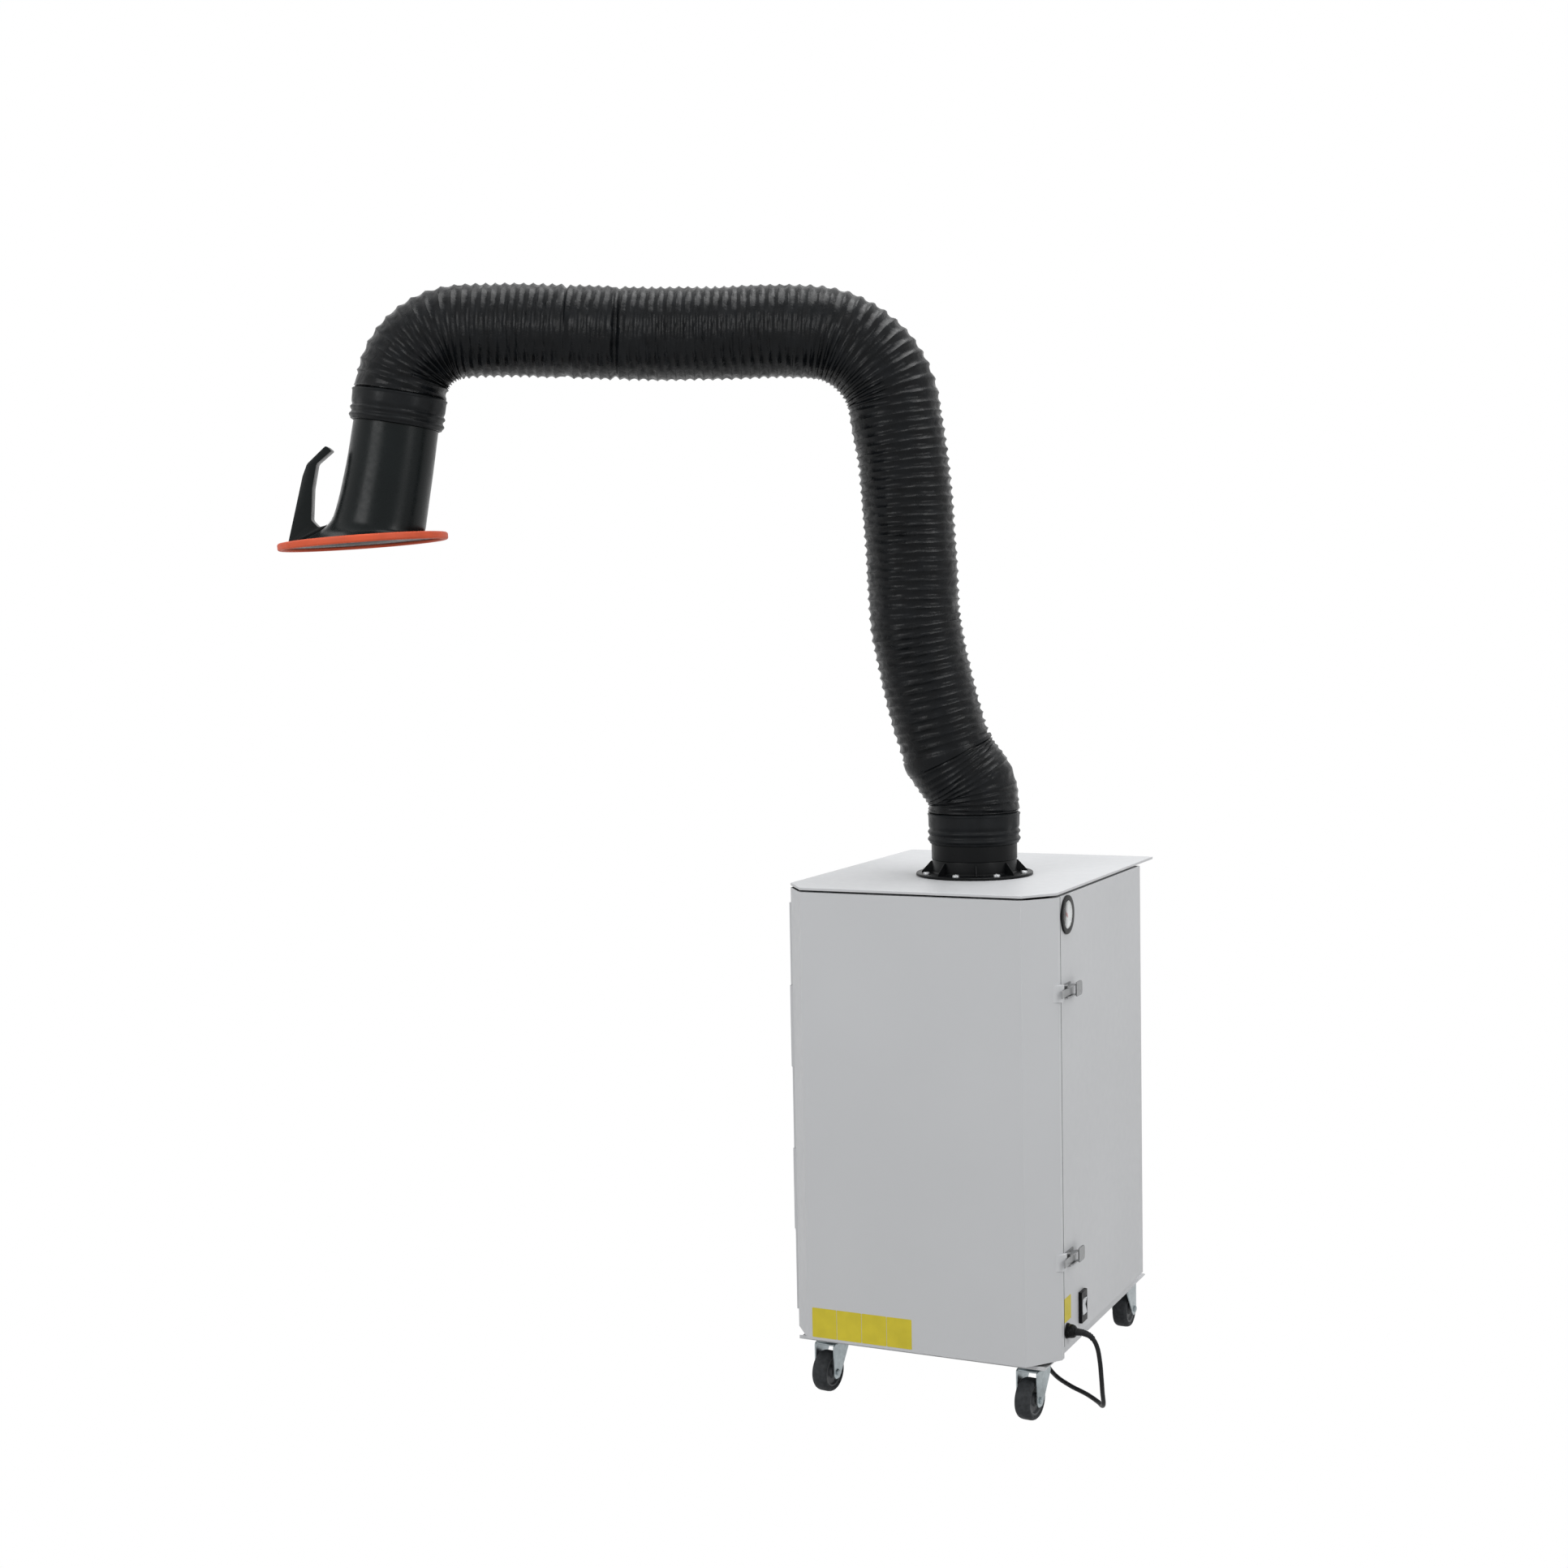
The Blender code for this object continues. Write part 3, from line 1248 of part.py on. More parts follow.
def ribs(start, end, pitch, valley):
    """Lengths and radii of ribs that fill a stretch, two for each rib."""
    count = max(1, round((end - start) / pitch))
    rings = []
    for i in range(2 * count):
        radius = HOSE_DIAMETER / 2 - (0 if i % 2 else valley)
        rings.append((start + (end - start) * i / (2 * count), radius))
    return rings


def hose_from(rings):
    """The ribbed outside, and a plainer bore with one ring for several of the outside's."""
    bore = HOSE_DIAMETER / 2 - HOSE_VALLEY - HOSE_WALL
    outer = [hose_ring(length, radius) for length, radius in rings]
    plainer = [*rings[:1 - BORE_RING_EVERY:BORE_RING_EVERY], rings[-1]]
    inner = [hose_ring(length, bore) for length, _ in plainer]
    return closed_tube(outer, inner)


def hose_stretch(index):
    breaks = hose_breaks()
    start = breaks[index] + (HOSE_JOINT_GAP / 2 if index else 0)
    end = breaks[index + 1] - (HOSE_JOINT_GAP / 2 if index < len(breaks) - 2 else 0)
    rings = ribs(start, end, HOSE_PITCH, HOSE_VALLEY)
    return hose_from([*rings, (end, HOSE_DIAMETER / 2 - HOSE_VALLEY)])


def hose_shoulder():
    """The first stretch, with finer ribs up to a seam band."""
    end = hose_breaks()[1] - HOSE_JOINT_GAP / 2
    band = FINE_HOSE_LENGTH
    proud = HOSE_DIAMETER / 2 + SEAM_BAND_PROUD
    rings = ribs(0.0, band, HOSE_FINE_PITCH, HOSE_FINE_VALLEY)
    rings += [(band, HOSE_DIAMETER / 2), (band + SEAM_BAND_PROUD, proud), (band + SEAM_BAND, proud)]
    rings += ribs(band + SEAM_BAND + SEAM_BAND_PROUD, end, HOSE_PITCH, HOSE_VALLEY)
    return hose_from([*rings, (end, HOSE_DIAMETER / 2 - HOSE_VALLEY)])


# Arm: flange, swivel pipe, cuffs and links

def base_flange():
    low = TOP + SEAT
    bore = DUCT_RADIUS - DUCT_WALL
    top = low + FLANGE_SHEET
    profile = [
        (bore, TOP - 2 * FLANGE_SHEET), (DUCT_RADIUS, TOP - 2 * FLANGE_SHEET), (DUCT_RADIUS, low),
        (FLANGE_DIAMETER / 2, low), (FLANGE_DIAMETER / 2, top), (DUCT_RADIUS, top),
        (DUCT_RADIUS, TOP + FLANGE_PIPE_HEIGHT), (bore, TOP + FLANGE_PIPE_HEIGHT),
    ]
    middle = Matrix.Translation((ARM_X, ARM_Y, 0))
    shapes = []
    bolt_circle = FLANGE_DIAMETER / 2 - FLANGE_BOLT_INSET
    gusset = [
        (DUCT_RADIUS - DUCT_WALL / 2, top - DUCT_WALL), (DUCT_RADIUS + FLANGE_GUSSET, top - DUCT_WALL),
        (DUCT_RADIUS + DUCT_WALL, top + FLANGE_GUSSET), (DUCT_RADIUS - DUCT_WALL / 2, top + FLANGE_GUSSET),
    ]
    for i in range(FLANGE_BOLTS):
        turn = Matrix.Rotation(FULL_TURN * i / FLANGE_BOLTS, 4, "Z")
        bolt = turned(disc_profile(FLANGE_BOLT, top - DUCT_WALL, top + FLANGE_BOLT_HEAD), None, BOLT_SIDES)
        shapes.append(moved(bolt, turn @ Matrix.Translation((bolt_circle, 0, 0))))
        half_turn = Matrix.Rotation(FULL_TURN * (i + 0.5) / FLANGE_BOLTS, 4, "Z")
        shapes.append(moved(prism(gusset, -DUCT_WALL / 2, DUCT_WALL / 2, "XZ"), half_turn))
    return moved(joined(turned(profile), *shapes), middle)


def fork_cheek():
    return LINK_WIDTH / 2 + RUNNING_GAP


def pin_through(pivot, radius, reach):
    return rod((pivot.x, -reach, pivot.y), (pivot.x, reach, pivot.y), radius, SMALL_SIDES)


def swivel_pipe():
    step = TOP + FLANGE_PIPE_HEIGHT + RUNNING_GAP
    top = TOP + CUFF_LOW + SWIVEL_OVERLAP
    sleeve = (DUCT_RADIUS - DUCT_WALL) * FLAT_SHARE - RUNNING_GAP
    bore = sleeve - DUCT_WALL
    profile = [
        (bore, step - SWIVEL_TAIL), (sleeve, step - SWIVEL_TAIL), (sleeve, step), (DUCT_RADIUS, step),
        (DUCT_RADIUS, top), (DUCT_RADIUS - DUCT_WALL, top), (DUCT_RADIUS - DUCT_WALL, step + DUCT_WALL),
        (bore, step + DUCT_WALL),
    ]
    bar_low, bar_high = step + DUCT_WALL, step + DUCT_WALL + LINK_DEPTH
    reach = DUCT_RADIUS - DUCT_WALL / 2
    bar = block((-reach, -BRACKET_SHEET / 2, bar_low), (reach, BRACKET_SHEET / 2, bar_high))
    inner = fork_cheek()
    outer = inner + LINK_SHEET
    pivot = shoulder()
    foot = block((-LINK_EYE, -outer, bar_low), (LINK_EYE, outer, bar_low + LINK_SHEET))
    cheeks = [
        prism([(-LINK_EYE, bar_low), (LINK_EYE, bar_low), *eye_top(pivot)], side * inner, side * outer, "XZ")
        for side in (-1, 1)
    ]
    pin = pin_through(pivot, LINK_PIN, outer - SEAT)
    return moved(joined(turned(profile), bar, foot, *cheeks, pin), arm_place())


def eye_top(pivot):
    """A half round over a pivot, from its right side to its left."""
    steps = ROUND_SIDES // 4
    angles = [math.pi * i / steps for i in range(steps + 1)]
    return [(pivot.x + LINK_EYE * math.cos(a), pivot.y + LINK_EYE * math.sin(a)) for a in angles]


def base_cuff():
    low, high = TOP + CUFF_LOW, cuff_top()
    bore = DUCT_RADIUS + SEAT
    rim = CUFF_DIAMETER / 2
    profile = [
        (bore, low), (rim - CUFF_WALL, low), (rim, low + CUFF_WALL), (rim, low + CUFF_HEIGHT / 3),
        (rim - CUFF_WALL, high), (bore, high),
    ]
    return moved(turned(profile), arm_place())


def link_plate(root, pivot, low, high, eye=LINK_EYE):
    """A flat bar from its root to a round eye about a pivot, across the arm's plane from low to high."""
    along = (pivot - root).normalized()
    side = Vector((-along.y, along.x))
    half = side * LINK_DEPTH / 2
    steps = ROUND_SIDES // 4
    outline = [root + half, root - half]
    for i in range(steps + 1):
        angle = EYE_TURN * i / steps - EYE_TURN / 2
        outline.append(pivot + (along * math.cos(angle) + side * math.sin(angle)) * eye)
    return prism([tuple(point) for point in outline], low, high, "XZ")


def link_fork(start, pivot):
    """The root, cheeks and pin that hold the next link's eye."""
    along = (pivot - start).normalized()
    side = Vector((-along.y, along.x)) * (LINK_DEPTH / 2 + LINK_SHEET / 2)
    far, near = pivot - along * (LINK_FORK + LINK_SPOKE_WIDTH), pivot - along * LINK_FORK
    inner = fork_cheek()
    outer = inner + LINK_SHEET
    root_line = [far + side, far - side, near - side, near + side]
    shapes = [prism([tuple(point) for point in root_line], -outer + SEAT, outer - SEAT, "XZ")]
    for sign in (-1, 1):
        shapes.append(link_plate(far + along * LINK_SHEET, pivot, sign * inner, sign * outer))
    shapes.append(pin_through(pivot, LINK_PIN, outer - SEAT))
    return shapes


def hose_support(length):
    """A hoop that fills the hose's bore, with a cross that ties it to the link."""
    bore = HOSE_DIAMETER / 2 - HOSE_VALLEY - HOSE_WALL - RUNNING_GAP
    half = LINK_SPOKE_SHEET / 2
    middle, along = HOSE_LINE.at(length), HOSE_LINE.heading(length)
    rings = []
    for radius in (bore, bore - LINK_HOOP):
        for shift in (-half, half):
            ring = []
            for i in range(HOSE_SIDES):
                angle = FULL_TURN * (i + 0.5) / HOSE_SIDES
                ring.append((radius * math.cos(angle), radius * math.sin(angle), shift))
            rings.append(ring)
    hoop = closed_tube(rings[:2], rings[2:])
    reach = (bore - LINK_HOOP / 2) * math.cos(math.pi / HOSE_SIDES)
    wide = LINK_SPOKE_WIDTH / 2
    first, second = half - SEAT, half - 2 * SEAT
    bars = [
        block((-reach, -wide, -first), (reach, wide, first)),
        block((-wide, -reach, -second), (wide, reach, second)),
    ]
    across = Vector((along.y, 0, -along.x))
    up = Vector((along.x, 0, along.y))
    turn = Matrix((across, up.cross(across), up)).transposed().to_4x4()
    place = Matrix.Translation((middle.x, 0, middle.y)) @ turn
    return [moved(shape, place) for shape in (hoop, *bars)]


def hose_link(start, end, lengths):
    along = (end - start).normalized()
    bar = link_plate(end - along * (LINK_FORK + LINK_SHEET), start, -LINK_WIDTH / 2, LINK_WIDTH / 2)
    supports = [shape for length in lengths for shape in hose_support(length)]
    shape = joined(bar, *link_fork(start, end), *supports)
    bore = pin_through(start, LINK_PIN_BORE, LINK_WIDTH)
    return moved(cut(shape, bore), arm_place())


def lower_link():
    breaks = hose_breaks()
    return hose_link(shoulder(), elbow(), (breaks[1] + SUPPORT_INSET, breaks[2] - SUPPORT_INSET))


def upper_link():
    breaks = hose_breaks()
    return hose_link(elbow(), wrist(), (breaks[3] + SUPPORT_INSET, breaks[4] - SUPPORT_INSET))


def wrist_bracket():
    """The eye on the wrist's pin, a crossbar, and the collar that the cuff and the hood's pipe sit on."""
    pipe = HOOD_PIPE_DIAMETER / 2
    spigot = (hood_pipe_radius() - HOOD_WALL) * FLAT_SHARE - RUNNING_GAP
    shelf = HOOD_TOP_INSERT + RUNNING_GAP
    top = HOOD_CUFF_HEIGHT - HOOD_WALL
    inner = spigot - HOOD_WALL
    profile = [
        (inner, -HOOD_SPIGOT), (spigot, -HOOD_SPIGOT), (spigot, shelf), (pipe, shelf), (pipe, top),
        (inner, top),
    ]
    reach = spigot - HOOD_WALL / 2
    wide = LINK_WIDTH / 2 - LINK_SHEET
    bar = block((-reach, -wide, shelf + SEAT), (reach, wide, shelf + HOOD_WALL))
    collar = moved(joined(turned(profile), bar), pivot_place(hood_axis()).inverted() @ hood_place())
    collar = moved(collar, Matrix.Translation((hood_axis().x, 0, hood_axis().y)))
    up = Vector((-math.sin(HOOD_TILT), math.cos(HOOD_TILT)))
    root = hood_axis() + up * (shelf + HOOD_WALL / 2)
    shape = joined(collar, link_plate(root, wrist(), -LINK_WIDTH / 2, LINK_WIDTH / 2))
    return moved(cut(shape, pin_through(wrist(), LINK_PIN_BORE, LINK_WIDTH)), arm_place())


def hood_cuff():
    bore = HOOD_PIPE_DIAMETER / 2 + SEAT
    rim = HOOD_CUFF_DIAMETER / 2
    profile = [
        (bore, 0), (rim - CUFF_WALL, 0), (rim, CUFF_WALL), (rim, HOOD_CUFF_HEIGHT - CUFF_WALL),
        (rim - CUFF_WALL, HOOD_CUFF_HEIGHT), (bore, HOOD_CUFF_HEIGHT),
    ]
    return moved(turned(profile), hood_place())


# Hood

def hood_pipe_radius():
    """The pipe turns inside the cuff, so its corners clear the flats of the cuff's bore."""
    return HOOD_PIPE_DIAMETER / 2 * FLAT_SHARE - RUNNING_GAP


def hood_line():
    """The hood's outer profile of radius and height, from its pipe to its brim, and its shift shares."""
    pipe, brim = hood_pipe_radius(), RIM_DIAMETER / 2 - RIM_WIDTH - SEAT
    line = []
    for depth, width, _ in HOOD_SECTION_SHARES:
        height = HOOD_TOP_INSERT - depth * (HOOD_HEIGHT + HOOD_TOP_INSERT)
        line.append((pipe + (brim - pipe) * width, height))
    return line, [shift for _, _, shift in HOOD_SECTION_SHARES]


def hood_ring(radius, height, shift):
    """A ring of the hood, moved and tilted by its share toward the rim."""
    tilt = Matrix.Rotation(shift * (HOOD_TILT + RIM_TILT), 4, "Y")
    offset = Matrix.Translation((shift * RIM_OFFSET, 0, height + HOOD_HEIGHT))
    place = Matrix.Translation((0, 0, -HOOD_HEIGHT)) @ tilt @ offset
    angles = [FULL_TURN * i / ROUND_SIDES for i in range(ROUND_SIDES)]
    return [place @ Vector((radius * math.cos(a), radius * math.sin(a), 0)) for a in angles]


def hood_shape(thickness, capped=False):
    """The hood's shell, its thickness laid inside its outer profile, or outside it where it is negative."""
    line, shifts = hood_line()
    points = folded(line, -thickness)
    count = len(line)
    outer = [hood_ring(*point, shift) for point, shift in zip(points[:count], shifts)]
    inner = [hood_ring(*point, shift) for point, shift in zip(points[:count - 1:-1], shifts)]
    if not capped:
        return closed_tube(outer, inner)
    radius, height = points[count]
    inner.append(hood_ring(radius, height - RIM_THICKNESS, shifts[-1]))
    shape = bmesh.new()
    rings = [[shape.verts.new(point) for point in ring] for ring in inner]
    for ring, after in zip(rings, rings[1:]):
        for i in range(ROUND_SIDES):
            j = (i + 1) % ROUND_SIDES
            shape.faces.new((ring[i], ring[j], after[j], after[i]))
    shape.faces.new(rings[0])
    shape.faces.new(rings[-1][::-1])
    return finished(shape)


def hood_body():
    return moved(hood_shape(HOOD_WALL), hood_place())


def rim_place():
    """Z up from the rim's middle, X outward along it."""
    drop = Matrix.Translation((0, 0, -HOOD_HEIGHT))
    tilt = Matrix.Rotation(HOOD_TILT + RIM_TILT, 4, "Y")
    return hood_place() @ drop @ tilt @ Matrix.Translation((RIM_OFFSET, 0, 0))


def hood_rim():
    rim = RIM_DIAMETER / 2
    half = RIM_THICKNESS / 2
    soft = RIM_WIDTH / 4
    bore = rim - RIM_WIDTH
    profile = [
        (bore, -half), (rim - soft, -half), (rim, soft - half), (rim, half - soft), (rim - soft, half),
        (bore, half),
    ]
    return moved(turned(profile), rim_place())


def hood_handle():
    outline = [(HANDLE_ROOT + reach * HANDLE_REACH, rise * HANDLE_HEIGHT) for reach, rise in HANDLE_SHARES]
    grip = moved(prism(outline, -HANDLE_WIDTH / 2, HANDLE_WIDTH / 2, "XZ"), rim_place())
    clearing = moved(hood_shape(-SEAT, capped=True), hood_place())
    return cut(grip, clearing)


# Cord, coil and plug

def cord_exit():
    return gland_place() @ Vector((0, 0, GLAND_PROUD + SEAT))


def cord_route():
    """The cord's middle line from the gland, down to the floor and under the cabinet to the coil."""
    floor = CORD_DIAMETER / 2
    start = cord_exit()
    points = [
        (start.x, start.y, start.z), (start.x + CORD_DIAMETER, start.y, start.z), (0.291, -0.194, 0.1625),
        (0.305, -0.194, 0.157), (0.315, -0.192, 0.140),
        (0.319, -0.188, 0.112), (0.319, -0.180, 0.080), (0.317, -0.168, 0.048), (0.313, -0.150, 0.022),
        (0.303, -0.126, 0.0075), (0.286, -0.100, floor), (0.255, -0.070, floor), (0.215, -0.040, floor),
        (0.172, 0.002, floor), (0.134, 0.060, floor), (0.104, 0.130, floor), (0.084, 0.210, floor),
        (0.068, 0.300, floor), (0.054, 0.390, floor), (0.042, 0.455, floor), (0.034, 0.505, floor),
        (0.033, 0.527, floor), (0.033, 0.535, floor),
    ]
    return Line(smooth_line([Vector(point) for point in points]))


def coil_turns():
    """Turns in each layer, the last one a quarter longer so that its end points away."""
    turns = [COIL_TURNS - COIL_CLIMB] * COIL_LAYERS
    turns[-1] += COIL_CLIMB / 2
    return turns


def coil_radii(length):
    """The coil's inner and outer radius, from the length that it takes up."""
    turns = sum(coil_turns()) + COIL_CLIMB * (COIL_LAYERS - 1)
    around_share = COIL_POINTS * math.sin(math.pi / COIL_POINTS) / math.pi
    mean = (length - COIL_TAIL) / (FULL_TURN * turns * around_share)
    half = COIL_STEP * (COIL_TURNS - COIL_CLIMB) / 2
    return mean - half, mean + half


def coil_line(start, length):
    """The wound line: in and out again in layers, climbing in the half turn where it reverses."""
    inner, outer = coil_radii(length)
    middle = Vector((start.x - outer, start.y + CORD_DIAMETER, start.z))
    step = 1 / COIL_POINTS
    points = [Vector(start), Vector((start.x, start.y + CORD_DIAMETER / 2, start.z))]
    turned_by, radius = 0.0, outer
    for layer, turns in enumerate(coil_turns()):
        rate = -COIL_STEP if layer % 2 == 0 else COIL_STEP
        base = start.z + layer * COIL_RISE
        for i in range(round(turns / step)):
            points.append(around(middle, radius + rate * i * step, turned_by + i * step, base))
        turned_by += turns
        radius += rate * turns
        if layer == COIL_LAYERS - 1:
            break
        for i in range(round(COIL_CLIMB / step)):
            height = base + COIL_RISE * i * step / COIL_CLIMB
            points.append(around(middle, radius, turned_by + i * step, height))
        turned_by += COIL_CLIMB
    end = around(middle, radius, turned_by, base)
    away = Vector((-math.sin(FULL_TURN * turned_by), math.cos(FULL_TURN * turned_by), 0))
    rest = PLUG_DIAMETER / 2 + SEAT
    for i in range(COIL_TAIL_STEPS + 1):
        share = i / COIL_TAIL_STEPS
        ease = min(1, max(0, (share - COIL_TAIL_LEVEL_SHARE) / (1 - 2 * COIL_TAIL_LEVEL_SHARE)))
        ease = ease * ease * (3 - 2 * ease)
        place = end + away * COIL_TAIL * share
        points.append(Vector((place.x, place.y, base + (rest - base) * ease)))
    return points, away


def around(middle, radius, turns, height):
    angle = FULL_TURN * turns
    return Vector((middle.x + radius * math.cos(angle), middle.y + radius * math.sin(angle), height))


def least_gap(points):
    """The smallest gap between turns of the coil, measured between points on its segments."""
    skip = COIL_POINTS // 2
    least = COIL_RISE
    for i in range(len(points) - 1):
        for j in range(i + skip, len(points) - 1):
            if (points[i] - points[j]).length > 2 * COIL_STEP:
                continue
            near = [points[i].lerp(points[i + 1], share) for share in SEGMENT_SHARES]
            far = [points[j].lerp(points[j + 1], share) for share in SEGMENT_SHARES]
            least = min(least, min((a - b).length for a in near for b in far))
    return least - CORD_DIAMETER


def tube_curve(points, resolution):
    data = bpy.data.curves.new("cord", "CURVE")
    data.dimensions = "3D"
    data.bevel_depth = CORD_DIAMETER / 2
    data.bevel_resolution = resolution
    data.use_fill_caps = True
    spline = data.splines.new("POLY")
    spline.points.add(len(points) - 1)
    for point, place in zip(spline.points, points):
        point.co = (*place, 1)
    return data


def plug(end, away):
    start = end + away * SEAT
    half = PLUG_DIAMETER / 2
    neck, middle = CORD_DIAMETER, PLUG_LENGTH / 2
    profile = [
        (0, 0), (neck, 0), (neck, middle / 2), (PLUG_SHOULDER, middle), (half, middle), (half, PLUG_LENGTH),
        (0, PLUG_LENGTH),
    ]
    place = looking(start, away)
    end = PLUG_LENGTH + PLUG_PIN_LENGTH
    pins = []
    for x in (-PLUG_PIN_SPREAD, PLUG_PIN_SPREAD):
        pin = rod((x, 0, PLUG_LENGTH - OVERRUN), (x, 0, end), PLUG_PIN_RADIUS, BOLT_SIDES)
        pins.append(moved(pin, place))
    return joined(turned(profile, place, SMALL_SIDES), *pins)


# The whole object

def add_bodies():
    BODIES.add("root", Matrix())
    x, y = hinge_axis()
    BODIES.add("door", Matrix.Translation((x, y, 0)), "root")
    for name, rise in LATCHES.items():
        pin = latch_place(rise) @ Matrix.Translation((LATCH_PIVOT_RISE, LATCH_PIVOT_BACK, 0))
        BODIES.add(f"latch_lever_{name}", pin, "root")
        hook = pin @ Matrix.Translation((LATCH_HOOK_RISE, LATCH_HOOK_BACK, 0))
        BODIES.add(f"latch_hook_{name}", hook, f"latch_lever_{name}")
    BODIES.add("gauge_needle", gauge_place(), "root")
    BODIES.add("switch_rocker", switch_place(), "root")
    BODIES.add("fan", Matrix.Translation((0, FAN_OFFSET_Y, 0)), "root")
    for name, place in caster_places().items():
        BODIES.add(f"caster_{name}", place, "root")
        axle = place @ Matrix.Translation((0, CASTER_TRAIL, axle_height()))
        BODIES.add(f"wheel_{name}", axle, f"caster_{name}")
        if name.startswith("rear"):
            BODIES.add(f"pedal_{name}", place @ Matrix.Translation((0, *pedal_axis())), f"caster_{name}")
    BODIES.add("arm_base", arm_place(), "root")
    BODIES.add("lower_arm", pivot_place(shoulder()), "arm_base")
    BODIES.add("upper_arm", pivot_place(elbow()), "lower_arm")
    BODIES.add("wrist", pivot_place(wrist()), "upper_arm")
    BODIES.add("hood", hood_place(), "wrist")


def add_cabinet():
    add("base_plate", base_plate(), "root", "powder")
    add("left_panel", side_panel(-1), "root", "powder")
    add("right_panel", side_panel(1), "root", "powder")
    add("rear_panel", rear_panel(), "root", "powder")
    add("top_cover", top_cover(), "root", "powder")
    add("filter_deck", filter_deck(), "root", "zinc")
    add("filter_cartridge", filter_cartridge(), "root", "filter")
    add("dust_tray", dust_tray(), "root", "zinc")
    add("fan_housing", fan_housing(), "root", "zinc")
    add("fan_motor", fan_motor(), "root", "plastic")
    add("fan_impeller", fan_impeller(), "fan", "zinc")
    add("exhaust_box", exhaust_box(), "root", "powder")
    add("control_box", control_box(), "root", "plastic")


def add_side_items():
    add("gauge_body", gauge_body(), "root", "plastic")
    add("gauge_lens", gauge_lens(), "root", "lens")
    add("gauge_needle", gauge_needle(), "gauge_needle", "red")
    add("switch_housing", switch_housing(), "root", "plastic")
    add("switch_rocker", switch_rocker(), "switch_rocker", "pale")
    add("cord_gland", cord_gland(), "root", "plastic")


def add_door():
    add("door", door(), "door", "powder")
    add("door_gasket", door_gasket(), "door", "rubber")
    add("door_hinge", door_hinge(), "root", "zinc")
    for name, rise in LATCHES.items():
        add(f"latch_base_{name}", latch_base(rise), "root", "zinc")
        add(f"latch_lever_{name}", latch_lever(rise), f"latch_lever_{name}", "zinc")
        add(f"latch_hook_{name}", latch_hook(rise), f"latch_hook_{name}", "zinc")


def add_casters():
    for name, place in caster_places().items():
        add(f"caster_plate_{name}", caster_plate(place), "root", "zinc")
        add(f"caster_fork_{name}", caster_fork(place), f"caster_{name}", "zinc")
        add(f"caster_wheel_{name}", caster_wheel(place), f"wheel_{name}", "tyre")
        if name.startswith("rear"):
            add(f"brake_pedal_{name}", brake_pedal(place), f"pedal_{name}", "zinc")


def add_arm():
    add("base_flange", base_flange(), "root", "powder")
    add("swivel_pipe", swivel_pipe(), "arm_base", "powder")
    add("base_cuff", base_cuff(), "arm_base", "rubber")
    add("hose_shoulder", hose_shoulder(), "arm_base", "hose")
    add("lower_link", lower_link(), "lower_arm", "steel")
    add("hose_lower", hose_stretch(1), "lower_arm", "hose")
    add("hose_elbow", hose_stretch(2), "lower_arm", "hose")
    add("upper_link", upper_link(), "upper_arm", "steel")
    add("hose_upper", hose_stretch(3), "upper_arm", "hose")
    add("hose_wrist", hose_stretch(4), "upper_arm", "hose")
    add("wrist_bracket", wrist_bracket(), "wrist", "steel")
    add("hood_cuff", hood_cuff(), "wrist", "rubber")
    add("hood_body", hood_body(), "hood", "hood")
    add("hood_rim", hood_rim(), "hood", "orange")
    add("hood_handle", hood_handle(), "hood", "hood")


def add_cord():
    route = cord_route()
    count = round(route.length / CORD_POINT_STEP)
    points = [route.at(route.length * i / count) for i in range(count + 1)]
    points.insert(1, route.at(CORD_DIAMETER))
    points.insert(-1, route.at(route.length - CORD_DIAMETER))
    add("power_cord", tube_curve(points, 2), "root", "plastic")
    start = points[-1] + Vector((0, SEAT, 0))
    wound, away = coil_line(start, CORD_LENGTH - route.length)
    add("cord_coil", tube_curve(wound, 1), "root", "plastic")
    add("plug", plug(wound[-1], away), "root", "plastic")
    total = route.length + Line(wound).length
    print(f"cord {total:.3f} m, coil's least gap to itself {least_gap(wound) * 1000:.2f} mm")


def rounded(values):
    return [round(value, 6) for value in values]


def stand_on_middle():
    """Moves the root so that the box of everything but the cord has its bottom middle at zero."""
    bpy.context.view_layer.update()
    corners = []
    for obj in bpy.context.scene.objects:
        if obj.type == "MESH" and obj.name != "plug":
            corners += [obj.matrix_world @ vertex.co for vertex in obj.data.vertices]
    low = [min(corner[i] for corner in corners) for i in range(3)]
    high = [max(corner[i] for corner in corners) for i in range(3)]
    BODIES.empties["root"].location = (-(low[0] + high[0]) / 2, -(low[1] + high[1]) / 2, -low[2])
    bpy.context.view_layer.update()
    for name, empty in BODIES.empties.items():
        place = empty.matrix_world
        print(name, rounded(place.translation), rounded(place.col[2][:3]))


def main():
    clear_scene()
    add_bodies()
    add_cabinet()
    add_side_items()
    add_door()
    add_casters()
    add_arm()
    add_cord()
    stand_on_middle()


main()
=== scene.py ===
"""Dresses the mobile welding fume extractor: camera, cord, finishes, fine shapes, floor and light."""

import bisect
import json
import math

import bmesh
import bpy
from mathutils import Matrix, Vector, noise


